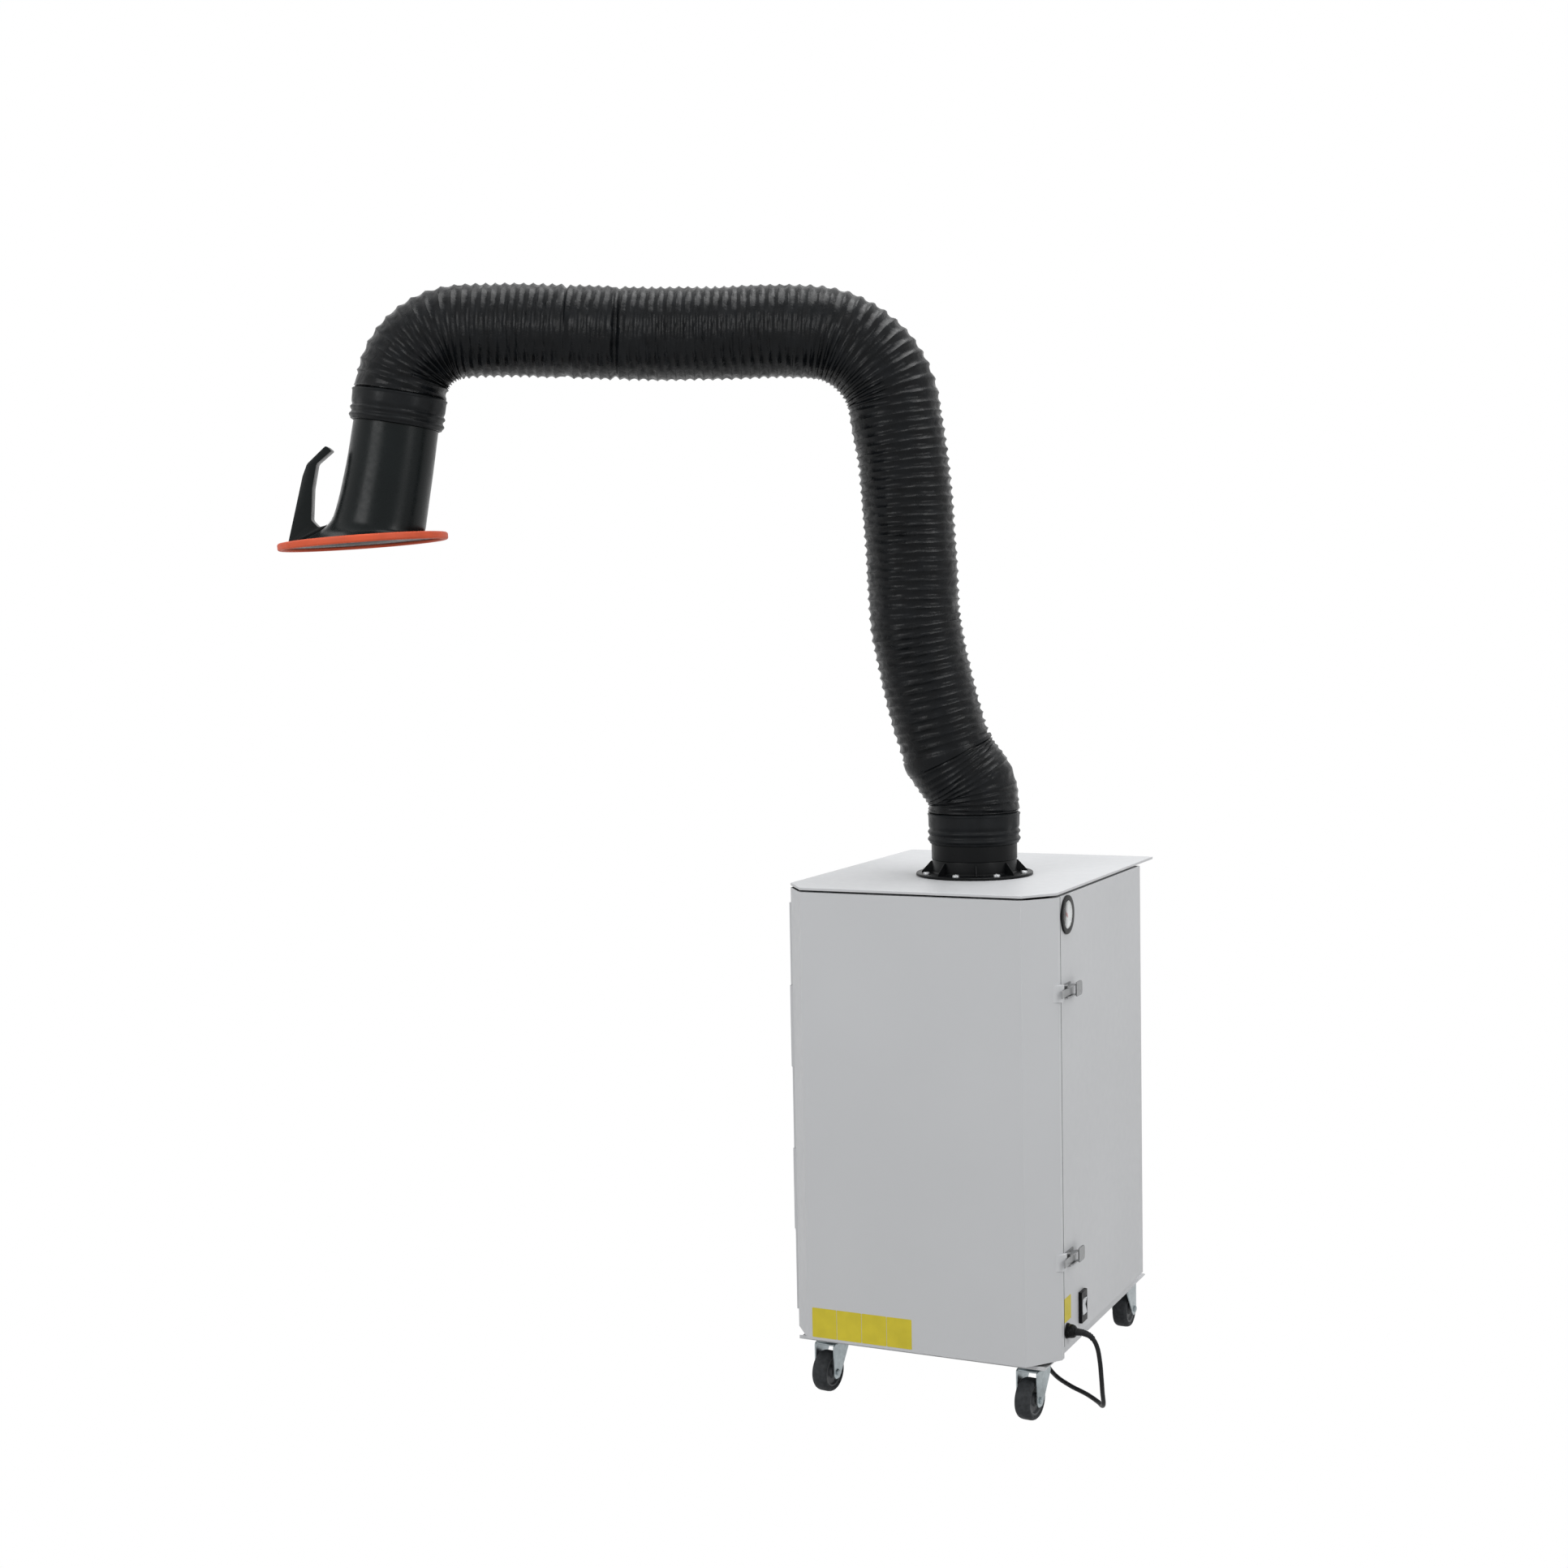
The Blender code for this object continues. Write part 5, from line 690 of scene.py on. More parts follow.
def in_arm(point):
    """A point in the arm's plane: its reach from the swivel axis, and its height."""
    local = ARM_PLACE.inverted() @ point
    return Vector((local.x, local.z))


SHOULDER_AT, ELBOW_AT, WRIST_AT = in_arm(SHOULDER), in_arm(ELBOW), in_arm(WRIST)
LOWER = ELBOW_AT - SHOULDER_AT
UPPER_REACH = WRIST_AT.x - ELBOW_AT.x
HOOD_TILT = math.radians(9.3)
HOOD_AT = WRIST_AT + Vector((0.0485, -0.1415))
DUCT_RADIUS = 0.080
FLANGE_RADIUS = 0.1105
FLANGE_SHEET = 0.005
FLANGE_BOLTS = 8
FLANGE_BOLT = 0.0065
FLANGE_BOLT_HEAD = 0.0045
FLANGE_BOLT_INSET = 0.012
FLANGE_GUSSET = 0.022
FLANGE_WELD = ((0.004, 0), (0.0015, 0.0008), (0, 0.003))
GUSSET_ROUND = 0.0015
GUSSET_BREAK = 0.0003
BOLT_ROUND_SHARE = 0.45
BOLT_SOCKET_SHARE = 0.48
BOLT_SOCKET_MOUTH = 1.1
BOLT_SOCKET_RISES = (0.94, 0.35)
PIPE_EDGE = (0.0006, 0.002)
PIPE_TOP = 0.030
PIPE_WALL = 0.002
BAND_GAP = 0.0006
BAND_BEAD = 0.0016
BAND_SHARE = 0.4
CUFF_LOW = 0.060
CUFF_HEIGHT = 0.060
CUFF_RADIUS = 0.088
CUFF_WALL = 0.0045
CUFF_ROLLS = (0.15, 0.38, 0.94)
CUFF_ROLL_WIDTH = 0.075
CUFF_BAND_START = 0.50
CUFF_BAND_SLOPE = 0.03
CUFF_BAND_SHARE = 0.72
CUFF_END_SHARE = 0.05
CUFF_MOUTH = 0.0012
CUFF_TOP_SHARE = 1.2
CUFF_STEPS = 44
CUFF_FOLD = 0.0022
CUFF_FOLD_SCALE = Vector((38, 38, 38 * 0.35))
CUFF_FOLD_MIDDLE = 0.25
HOSE_RADIUS = 0.0868
HOSE_WALL = 0.0035
HOSE_VALLEY = 0.0045
HOSE_PITCH = 0.0170
HOSE_FINE_VALLEY = 0.003
HOSE_FINE_PITCH = 0.0105
HOSE_FINE_END = 0.118
HOSE_SEAM = 0.014
HOSE_SEAM_PROUD = 0.001
HOSE_GAP = 0.0008
HOSE_STRAIGHT = 0.004
HOSE_RING_STEP = 0.0017
HOSE_SIDES = 88
HOSE_CREASES = (0.480, 0.575)
HOSE_CREASE_DEPTH = 0.0035
HOSE_CREASE_WIDTH = 0.006
HOSE_CREST = 1.7
HOSE_FOLDS = ((14, 0, 0.0016), (60, 7, 0.0012), (130, 0, 0.0007))
HOSE_FOLD_VALLEY = 1.1
HOSE_FOLD_CREST = 0.9
HOSE_FIRST_BREAK = 0.240
HOSE_ELBOW_REACH = 0.255
HOSE_WRIST_REACH = 0.245
HOSE_INNER_STEP = 8
BASE_BEND = 0.120
BASE_LEAN = math.radians(20)
ELBOW_BEND = 0.171
ELBOW_CENTRE = Vector((0.877, -0.871))
LOWER_HOSE_SHARES = ((0.316, 0.139), (0.658, 0.388), (0.707, 0.525), (0.756, 0.676), (0.803, 0.763))
UPPER_HOSE_SHARES = ((0.364, 0.253), (0.538, 0.276), (0.665, 0.346), (0.780, 0.397))
ARC_SHARES = (1.0, 0.75, 0.5, 0.25, 0.0)
CUFF_TOP = COVER_TOP + CUFF_LOW + CUFF_HEIGHT


def bend_points(centre, radius, start, end, shares):
    """Points on a bend, from its end at share zero to its start at share one."""
    angles = [end + (start - end) * share for share in shares]
    return [centre + radius * Vector((math.cos(a), math.sin(a))) for a in angles]


def hose_guides():
    """The points that the hose's middle line passes, from the base cuff to the hood's cuff."""
    low = Vector((0, CUFF_TOP + HOSE_GAP))
    step = Vector((0, HOSE_STRAIGHT))
    centre = low + 2 * step + Vector((BASE_BEND, 0))
    guides = [low, low + step, low + 2 * step]
    guides += bend_points(centre, BASE_BEND, math.pi - BASE_LEAN, math.pi, (0.5, 1.0))
    for reach, rise in LOWER_HOSE_SHARES:
        guides.append(SHOULDER_AT + Vector((reach * LOWER.x, rise * LOWER.y)))
    centre = ELBOW_AT + ELBOW_CENTRE * ELBOW_BEND
    guides += bend_points(centre, ELBOW_BEND, math.pi, math.pi / 2, ARC_SHARES)
    for reach, rise in UPPER_HOSE_SHARES:
        guides.append(ELBOW_AT + Vector((reach * UPPER_REACH, rise * HOSE_RADIUS)))
    down = Vector((math.sin(HOOD_TILT), -math.cos(HOOD_TILT)))
    end = HOOD_AT - down * (CUFF_HEIGHT + HOSE_GAP)
    last = end - down * 2 * HOSE_STRAIGHT
    radius = (guides[-1].y - last.y) / (1 - math.sin(HOOD_TILT))
    centre = last - radius * Vector((math.cos(HOOD_TILT), math.sin(HOOD_TILT)))
    guides += bend_points(centre, radius, math.pi / 2, HOOD_TILT, ARC_SHARES)
    return [*guides, end - down * HOSE_STRAIGHT, end]


HOSE_LINE = Line(smooth_line(hose_guides()))
AT_ELBOW = HOSE_LINE.nearest(ELBOW_AT)


def wire_crest(share):
    """How far the cloth stands out over the wire: one on a crest, zero midway between two."""
    away = abs((share + 0.5) % 1 - 0.5) * 2
    return (1 - away) ** HOSE_CREST


def hose_surface(length, angle, centre, outward):
    """The hose's radius at a length and angle: wire crests on a helix, cloth drawn in and creased."""
    if length < HOSE_FINE_END:
        crest = wire_crest(length / HOSE_FINE_PITCH + angle / FULL_TURN)
        radius = HOSE_RADIUS - HOSE_FINE_VALLEY * (1 - crest)
    elif length < HOSE_FINE_END + HOSE_SEAM:
        share = (length - HOSE_FINE_END) / HOSE_SEAM
        return HOSE_RADIUS + HOSE_SEAM_PROUD * math.sin(math.pi * share) ** 0.5
    else:
        crest = wire_crest(length / HOSE_PITCH + angle / FULL_TURN)
        radius = HOSE_RADIUS - HOSE_VALLEY * (1 - crest)
    place = centre + outward * HOSE_RADIUS
    fold = 0.0
    for scale, shift, depth in HOSE_FOLDS:
        fold += noise.noise(place * scale + Vector((shift, 0, 0))) * depth
    for crease in HOSE_CREASES:
        away = (length - AT_ELBOW - crease) / HOSE_CREASE_WIDTH
        radius -= HOSE_CREASE_DEPTH * math.exp(-away * away)
    fold *= HOSE_FOLD_VALLEY - HOSE_FOLD_CREST * crest
    return min(radius + fold, HOSE_RADIUS + HOSE_SEAM_PROUD)


def hose_ring(shape, length, inner=False):
    along = HOSE_LINE.heading(length, HOSE_STRAIGHT / 2)
    middle = HOSE_LINE.at(length)
    turn = ARM_PLACE.to_3x3()
    centre = ARM_PLACE @ Vector((middle.x, 0, middle.y))
    across = turn @ Vector((along.y, 0, -along.x))
    side = turn @ Vector((0, 1, 0))
    ring = []
    for i in range(HOSE_SIDES):
        angle = FULL_TURN * i / HOSE_SIDES
        outward = math.cos(angle) * across + math.sin(angle) * side
        radius = hose_surface(length, angle, centre, outward)
        if inner:
            radius = HOSE_RADIUS - HOSE_VALLEY - HOSE_WALL
        ring.append(shape.verts.new(centre + outward * radius))
    return ring


def hose_breaks():
    """Running lengths where the hose's five stretches start and end."""
    at_wrist = HOSE_LINE.nearest(WRIST_AT)
    elbow = (AT_ELBOW - HOSE_ELBOW_REACH, AT_ELBOW + HOSE_ELBOW_REACH)
    return [0.0, HOSE_FIRST_BREAK, *elbow, at_wrist - HOSE_WRIST_REACH, HOSE_LINE.length]


def bend_ends(start, end, insets):
    """Where a stretch's bend starts and ends, set in so that its first and last rings stay whole."""
    turn = ARM_PLACE.to_3x3()
    ends = (HOSE_LINE.at(start), HOSE_LINE.at(end))
    low, high = (ARM_PLACE @ Vector((point.x, 0, point.y)) for point in ends)
    chord = (high - low).normalized()
    moved = []
    for place, length, inset in ((low, start, insets[0]), (high, end, -insets[1])):
        along = HOSE_LINE.heading(length, HOSE_STRAIGHT)
        heading = turn @ Vector((along.x, 0, along.y))
        slant = math.sqrt(max(1 - heading.dot(chord) ** 2, 0))
        moved.append(place + chord * inset * HOSE_RADIUS * slant)
    return moved


WRIST_INSETS = (1.4, 0.3)
HOSE_STRETCHES = (
    ("shoulder", "arm_base", "lower_arm"), ("lower", "lower_arm", None), ("elbow", "lower_arm", "upper_arm"),
    ("upper", "upper_arm", None), ("wrist", "upper_arm", "wrist"),
)


def add_hose():
    breaks = hose_breaks()
    for (name, body, after), start, end in zip(HOSE_STRETCHES, breaks, breaks[1:]):
        shape = bmesh.new()
        steps = round((end - start) / HOSE_RING_STEP)
        lengths = [start + (end - start) * i / steps for i in range(steps + 1)]
        rings = [hose_ring(shape, length) for length in lengths]
        rings += [hose_ring(shape, length, True) for length in lengths[::-HOSE_INNER_STEP]]
        skinned(shape, rings, True)
        data = from_bmesh(shape)
        piece = placed(f"hose_cloth_{name}", data, "hose", None if after else body, (f"hose_{name}",))
        if after:
            insets = WRIST_INSETS if name == "wrist" else (1, 1)
            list(bend_ends(start, end, insets))
            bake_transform(piece)


def creased(data, place, low, high):
    """Soft folds on a cuff, fading toward its ends."""
    inverse = place.inverted()
    for vertex in data.vertices:
        local = inverse @ vertex.co
        share = (local.z - low) / (high - low)
        if not 0 < share < 1:
            continue
        folds = noise.noise(local * CUFF_FOLD_SCALE) - CUFF_FOLD_MIDDLE
        radial = Vector((local.x, local.y, 0)).normalized()
        local += radial * CUFF_FOLD * math.sin(math.pi * share) * folds
        vertex.co = place @ local


def cuff_profile(low, high, radius, bore):
    """A rubber sleeve: two rolls above its lip, then a plain band up to its rolled top edge."""
    profile = [(bore, low), (bore + CUFF_MOUTH, low)]
    for i in range(1, CUFF_STEPS + 1):
        share = i / (CUFF_STEPS + 1)
        rolls = sum(math.exp(-((share - middle) / CUFF_ROLL_WIDTH) ** 2) for middle in CUFF_ROLLS)
        band = 1 / (1 + math.exp(-(share - CUFF_BAND_START) / CUFF_BAND_SLOPE))
        swell = min(max(rolls, CUFF_BAND_SHARE * band), 1)
        end = min(1.0, (1 - share) / CUFF_END_SHARE)
        profile.append((radius - CUFF_WALL + CUFF_WALL * swell * end, low + (high - low) * share))
    return profile + [(radius - CUFF_WALL * CUFF_TOP_SHARE, high), (bore, high)]


def add_cuff(name, node_name, body, place, low, radius, bore):
    high = low + CUFF_HEIGHT
    data = lathe(cuff_profile(low, high, radius, bore + SEAT), place, LARGE_SIDES)
    creased(data, place, low, high)
    placed(name, data, "cuff", body, (node_name,))


def add_flange():
    low = COVER_TOP + SEAT
    top = low + FLANGE_SHEET
    soft = FLANGE_SHEET / 5
    bore = DUCT_RADIUS - PIPE_WALL
    place = Matrix.Translation((ARM_FOOT.x, ARM_FOOT.y, 0))
    profile = [
        (bore, COVER_TOP - 2 * FLANGE_SHEET), (DUCT_RADIUS, COVER_TOP - 2 * FLANGE_SHEET), (DUCT_RADIUS, low),
        (FLANGE_RADIUS - soft, low), (FLANGE_RADIUS, low + soft), (FLANGE_RADIUS, top - soft),
        (FLANGE_RADIUS - soft, top),
    ]
    profile += [(DUCT_RADIUS + out, top + rise) for out, rise in FLANGE_WELD]
    profile += [
        (DUCT_RADIUS, COVER_TOP + PIPE_TOP - PIPE_EDGE[1]),
        (DUCT_RADIUS - PIPE_EDGE[0], COVER_TOP + PIPE_TOP), (bore, COVER_TOP + PIPE_TOP),
    ]
    placed("flange_plate", lathe(profile, place, LARGE_SIDES), "plastic", "root", ("base_flange",))
    bolts, gussets = bmesh.new(), bmesh.new()
    web = fillet([
        (DUCT_RADIUS, top), (DUCT_RADIUS + FLANGE_GUSSET, top),
        (DUCT_RADIUS + PIPE_WALL, top + FLANGE_GUSSET), (DUCT_RADIUS, top + FLANGE_GUSSET),
    ], GUSSET_ROUND)
    standing = Matrix.Rotation(math.pi / 2, 4, "X")
    for i in range(FLANGE_BOLTS):
        turn = place @ Matrix.Rotation(FULL_TURN * i / FLANGE_BOLTS, 4, "Z")
        seat = turn @ Matrix.Translation((FLANGE_RADIUS - FLANGE_BOLT_INSET, 0, top))
        domed_bolt(bolts, seat, FLANGE_BOLT, FLANGE_BOLT_HEAD)
        between = place @ Matrix.Rotation(FULL_TURN * (i + 0.5) / FLANGE_BOLTS, 4, "Z")
        pushed(web, -PIPE_WALL / 2, PIPE_WALL / 2, between @ standing, gussets, GUSSET_BREAK)
    placed("flange_bolts", from_bmesh(bolts), "steel", "root")
    placed("flange_gussets", from_bmesh(gussets), "plastic", "root")


def domed_bolt(shape, seat, radius, height):
    """A cap screw: washer face, rounded head, and a drawn socket."""
    soft = height * BOLT_ROUND_SHARE
    profile = [(0, 0), (radius, 0), (radius, height - soft)]
    profile += shoulder(radius, height - soft, soft, soft, 5)
    socket = radius * BOLT_SOCKET_SHARE
    edge, floor = (height * share for share in BOLT_SOCKET_RISES)
    profile += [(socket * BOLT_SOCKET_MOUTH, height), (socket, edge), (socket, floor), (0, floor)]
    lathe(profile, seat, BOLT_SIDES, False, shape)


def add_swivel_pipe():
    """The turning pipe over the flange, with a folded edge."""
    low, high = COVER_TOP + PIPE_TOP + BAND_GAP, COVER_TOP + CUFF_LOW - SEAT
    bore, outer = DUCT_RADIUS - PIPE_WALL, DUCT_RADIUS + PIPE_WALL * BAND_SHARE
    fold = BAND_BEAD * BAND_SHARE
    profile = [(bore, low)]
    profile += [(outer - fold + fold * math.sin(a), low + BAND_BEAD * (1 - math.cos(a))) for a in quarter(4)]
    profile += [(outer, high), (bore, high)]
    placed("swivel_band", lathe(profile, ARM_PLACE, LARGE_SIDES), "plastic", "arm_base")


# Hood

HOOD_PIPE_RADIUS = 0.07891
HOOD_WALL = 0.003
HOOD_HEIGHT = 0.215
HOOD_TOP = 0.020
HOOD_CUFF_RADIUS = 0.089
HOOD_CUFF_BORE = 0.0805
HOOD_SHIFT_SCALE = 10
RIM_RADIUS = 0.158
RIM_WIDTH = 0.010
RIM_THICKNESS = 0.014
RIM_ROUND_SHARE = 0.42
RIM_TURN = math.radians(12.7)
RIM_OFFSET = 0.034
HOOD_SHARES = (
    (0, 0, 0), (0.1, 0, 0), (0.5, 0.03, 0.03), (0.85, 0.10, 0.17), (0.93, 0.20, 0.4), (0.965, 0.42, 0.75),
    (0.985, 0.72, 1), (0.995, 1, 1),
)
GRIP_CORNER = math.radians(8)
GRIP_ROUND = 0.010
GRIP_SOFT = 0.0035
GRIP_PARALLEL = 0.999
HOOD_PLACE = ARM_PLACE @ Matrix.Translation((HOOD_AT.x, 0, HOOD_AT.y)) @ Matrix.Rotation(-HOOD_TILT, 4, "Y")
RIM_DROP = Matrix.Translation((0, 0, -HOOD_HEIGHT))


def tilted(shift, height):
    """A place on the hood, moved and tilted by its share toward the rim."""
    tilt = Matrix.Rotation(shift * RIM_TURN, 4, "Y")
    return HOOD_PLACE @ RIM_DROP @ tilt @ Matrix.Translation((shift * RIM_OFFSET, 0, height))


def hood_ring(shape, radius, height, shift):
    place = tilted(shift, height + HOOD_HEIGHT)
    return [shape.verts.new(place @ Vector((x, y, 0))) for x, y in circle(radius, LARGE_SIDES)]


def hood_line():
    """The hood's outer line of radius, height and shift, smooth between its sections."""
    brim = RIM_RADIUS - RIM_WIDTH - SEAT
    guides = []
    for depth, width, shift in HOOD_SHARES:
        radius = HOOD_PIPE_RADIUS + (brim - HOOD_PIPE_RADIUS) * width
        guides.append(Vector((radius, HOOD_TOP - depth * (HOOD_HEIGHT + HOOD_TOP), shift / HOOD_SHIFT_SCALE)))
    return smooth_line(guides, 6)


def hood_mesh():
    """The hood's shell, its wall laid inside its outer line."""
    line = hood_line()
    shape = bmesh.new()
    outer, inner = [], []
    for i, point in enumerate(line):
        before, after = line[max(i - 1, 0)], line[min(i + 1, len(line) - 1)]
        run = Vector((after.x - before.x, after.y - before.y)).normalized()
        normal = Vector((-run.y, run.x))
        shift = point.z * HOOD_SHIFT_SCALE
        outer.append(hood_ring(shape, point.x, point.y, shift))
        inner.append(hood_ring(shape, point.x - normal.x * HOOD_WALL, point.y - normal.y * HOOD_WALL, shift))
    skinned(shape, outer + inner[::-1], True)
    return from_bmesh(shape)


def add_hood():
    placed("hood_shell", hood_mesh(), "hood", "hood", ("hood_body",))
    half = RIM_THICKNESS / 2
    corners = rectangle(RIM_RADIUS - RIM_WIDTH, -half, RIM_RADIUS, half)
    strip = [tuple(point) for point in fillet(corners, RIM_WIDTH * RIM_ROUND_SHARE, 6)]
    placed("hood_rim_strip", lathe(strip, tilted(1, 0), LARGE_SIDES), "rim", "hood", ("hood_rim",))
    add_grip()


def add_grip():
    """The grip's solid again: its outline rounded first, then its long edges."""
    shape = solid_again("hood_handle")
    across = ARM_PLACE.to_3x3() @ Vector((0, 1, 0))
    corners = []
    for edge in shape.edges:
        run = (edge.verts[1].co - edge.verts[0].co).normalized()
        if abs(run.dot(across)) > GRIP_PARALLEL and edge.calc_face_angle(0) > GRIP_CORNER:
            corners.append(edge)
    round_over(shape, corners, GRIP_ROUND, 5)
    long_edges = [edge for edge in shape.edges if edge.calc_face_angle(0) > SHARP]
    round_over(shape, long_edges, GRIP_SOFT, 3)
    placed("hood_grip", as_mesh(shape), "hood", "hood", ("hood_handle",))


# Casters

WHEEL_RADIUS = 0.0375
WHEEL_WIDTH = 0.030
WHEEL_TYRE = 0.010
TYRE_SEAT = (0.001, 0.003)
TYRE_FOOT = ((0.0006, 0.0012), (0.0016, 0.0004))
TYRE_TREAD = (
    (0.0052, 0), (0.0046, 0.0006), (0.0036, 0.0004), (0.0018, 0.0022), (0.0005, 0.0052), (0, 0.0090),
)
HUB_BOSS = ((0.0105, 0.001), (0.0112, 0.0018), (0.0125, 0.0052))
HUB_DISH = ((0.0045, 0.0060), (0.0030, 0.0022), (0, 0.0016))
CASTER_PLATE = (0.070, 0.092)
CASTER_PLATE_SHEET = 0.003
CASTER_BOLT = 0.0055
CASTER_BOLT_HEAD = 0.003
CASTER_BOLT_INSET = 0.009
CASTER_TOP = 0.107
CASTER_ROUND = 0.006
CASTER_BREAK = 0.0006
PEDAL_SOFT = 0.0008
FORK_CROWN = 0.0925
FORK_WIDTH = 0.043
FORK_SHEET = 0.003
FORK_EAR = 0.056
FORK_EDGE = 0.012
FORK_NOSE = 0.012
FORK_STEM = 0.019
FORK_CROWN_ROUND = 0.008
FORK_EAR_BREAK = 0.0005
RACE_BRIM = 0.004
RACE_RISES = (0.0025, 0.0042)
RACE_SOFT = 0.0015
CASTER_TRAIL = 0.028
AXLE_NUT = 0.0065
AXLE_NUT_HEIGHT = 0.004
AXLE_RADIUS = 0.004
AXLE_NUT_SHARE = 0.8
AXLE_NUT_BREAK = 0.0004
AXLE_SOFT_SHARES = (0.9, 0.8)
FLATS = 6


def caster_place(name):
    """The caster's swivel axis on the floor, +Y the way it trails."""
    pivot, axle = joint_at(f"caster_{name}_swivel"), joint_at(f"wheel_{name}_roll")
    trail = Vector((axle.x - pivot.x, axle.y - pivot.y, 0)).normalized()
    turn = Matrix((Vector((trail.y, -trail.x, 0)), trail, Vector((0, 0, 1)))).transposed().to_4x4()
    return Matrix.Translation((pivot.x, pivot.y, 0)) @ turn


def both_sides(side):
    """A turned side and the same one facing the other way."""
    return side + [(radius, -height) for radius, height in reversed(side)]


def wheel_profile():
    """A tyre with a round tread and shallow side grooves on a dished hub."""
    half, hub = WHEEL_WIDTH / 2, WHEEL_RADIUS - WHEEL_TYRE
    side = [(hub - TYRE_SEAT[0], half - TYRE_SEAT[1])]
    side += [(hub + out, half - back) for out, back in TYRE_FOOT]
    side += [(WHEEL_RADIUS - inward, half - back) for inward, back in TYRE_TREAD]
    return both_sides(side)


def hub_profile():
    half, hub = WHEEL_WIDTH / 2, WHEEL_RADIUS - WHEEL_TYRE
    side = [(AXLE_RADIUS + SEAT, half - HUB_BOSS[0][1])]
    side += [(radius, half - back) for radius, back in HUB_BOSS]
    side += [(hub - inward, half - back) for inward, back in HUB_DISH]
    return both_sides(side)


def add_caster(name):
    place = caster_place(name)
    axle = place @ Matrix.Translation((0, CASTER_TRAIL, WHEEL_RADIUS)) @ Matrix.Rotation(math.pi / 2, 4, "Y")
    body = f"wheel_{name}"
    placed(f"tyre_{name}", lathe(wheel_profile(), axle), "tyre", body, (f"caster_wheel_{name}",))
    placed(f"hub_{name}", lathe(hub_profile(), axle, HUB_SIDES), "hub", body)
    add_fork(name, place, axle)
    add_plate(name, place)


def add_fork(name, place, axle):
    half = FORK_WIDTH / 2
    back, front = CASTER_TRAIL + FORK_EDGE, CASTER_TRAIL + FORK_EDGE - FORK_EAR
    side, foot = WHEEL_RADIUS - FORK_EDGE / 2, WHEEL_RADIUS - FORK_EDGE
    ear = fillet([
        (front, FORK_CROWN), (front, FORK_CROWN - FORK_NOSE), (CASTER_TRAIL - FORK_EDGE, side),
        (CASTER_TRAIL - FORK_EDGE / 2, foot), (CASTER_TRAIL + FORK_EDGE / 2, foot), (back, side),
        (back, FORK_CROWN),
    ], CASTER_ROUND, 5)
    shape = bmesh.new()
    for sign in (-1, 1):
        low, high = sorted((sign * half, sign * (half - FORK_SHEET)))
        pushed(ear, low, high, place @ FACE_OUT, shape, FORK_EAR_BREAK)
        out = Matrix.Translation((0, 0, sign * (half - SEAT)))
        nut_and_end(shape, axle @ out @ Matrix.Rotation(0 if sign > 0 else math.pi, 4, "X"))
    crown = fillet(rectangle(-half, front, half, back), FORK_CROWN_ROUND, 5)
    pushed(crown, FORK_CROWN - FORK_SHEET, FORK_CROWN, place, shape, CASTER_BREAK)
    low, high = FORK_CROWN - FORK_SHEET / 2, CASTER_TOP - CASTER_PLATE_SHEET - 2 * SEAT
    brim = FORK_STEM + RACE_BRIM
    race = [
        (0, low), (brim, low), (brim, low + RACE_RISES[0]), (FORK_STEM, low + RACE_RISES[1]),
        (FORK_STEM, high - RACE_SOFT), (FORK_STEM - RACE_SOFT, high), (0, high),
    ]
    lathe(race, place, SMALL_SIDES, False, shape)
    placed(f"fork_{name}", from_bmesh(shape), "zinc", f"caster_{name}", (f"caster_fork_{name}",))


def nut_and_end(shape, seat):
    high, radius = AXLE_NUT_HEIGHT, AXLE_RADIUS
    pushed(circle(AXLE_NUT, FLATS), 0, high * AXLE_NUT_SHARE, seat, shape, AXLE_NUT_BREAK)
    rise, tip = high * AXLE_SOFT_SHARES[0], radius * AXLE_SOFT_SHARES[1]
    lathe([(0, 0), (radius, 0), (radius, rise), (tip, high), (0, high)], seat, PIN_SIDES, False, shape)


def add_plate(name, place):
    """The mounting plate lies square to the cabinet, whatever way the fork turns."""
    seat = Matrix.Translation(place.translation)
    half_x, half_y = CASTER_PLATE[0] / 2, CASTER_PLATE[1] / 2
    high = CASTER_TOP - SEAT
    low = high - CASTER_PLATE_SHEET
    shape = bmesh.new()
    outline = fillet(rectangle(-half_x, -half_y, half_x, half_y), CASTER_ROUND, 5)
    pushed(outline, low, high, seat, shape, CASTER_BREAK)
    flip = Matrix.Rotation(math.pi, 4, "X")
    for x in (-half_x + CASTER_BOLT_INSET, half_x - CASTER_BOLT_INSET):
        for y in (-half_y + CASTER_BOLT_INSET, half_y - CASTER_BOLT_INSET):
            domed_bolt(shape, seat @ Matrix.Translation((x, y, low)) @ flip, CASTER_BOLT, CASTER_BOLT_HEAD)
    placed(f"plate_{name}", from_bmesh(shape), "zinc", "root", (f"caster_plate_{name}",))


def add_casters():
    for name in ("front_left", "front_right", "rear_left", "rear_right"):
        add_caster(name)
    for side in ("left", "right"):
        softened(f"pedal_{side}", f"brake_pedal_rear_{side}", f"pedal_rear_{side}", "zinc", PEDAL_SOFT)


# Cabinet

HALF_WIDTH = 0.260
FRONT = -CABINET_DEPTH / 2
SEAM = -0.2095
SEAM_GAP = 0.0025
# Depth of the dark sheet of painted shade that fills the door's seam
SEAM_SHADE_SHEET_DEPTH = 0.004
FACE_OUT = Matrix(((0, 0, 1, 0), (1, 0, 0, 0), (0, 1, 0, 0), (0, 0, 0, 1)))


def on_right(y, z):
    """A place on the right side's face: X toward the rear, Y up, Z out of the panel."""
    return Matrix.Translation(cabinet(HALF_WIDTH, y, z)) @ FACE_OUT


def on_front(x, z):
    """A place on the door's front: X to the right, Y up, Z out of the door."""
    return Matrix.Translation(cabinet(x, FRONT, z)) @ Matrix.Rotation(math.pi / 2, 4, "X")


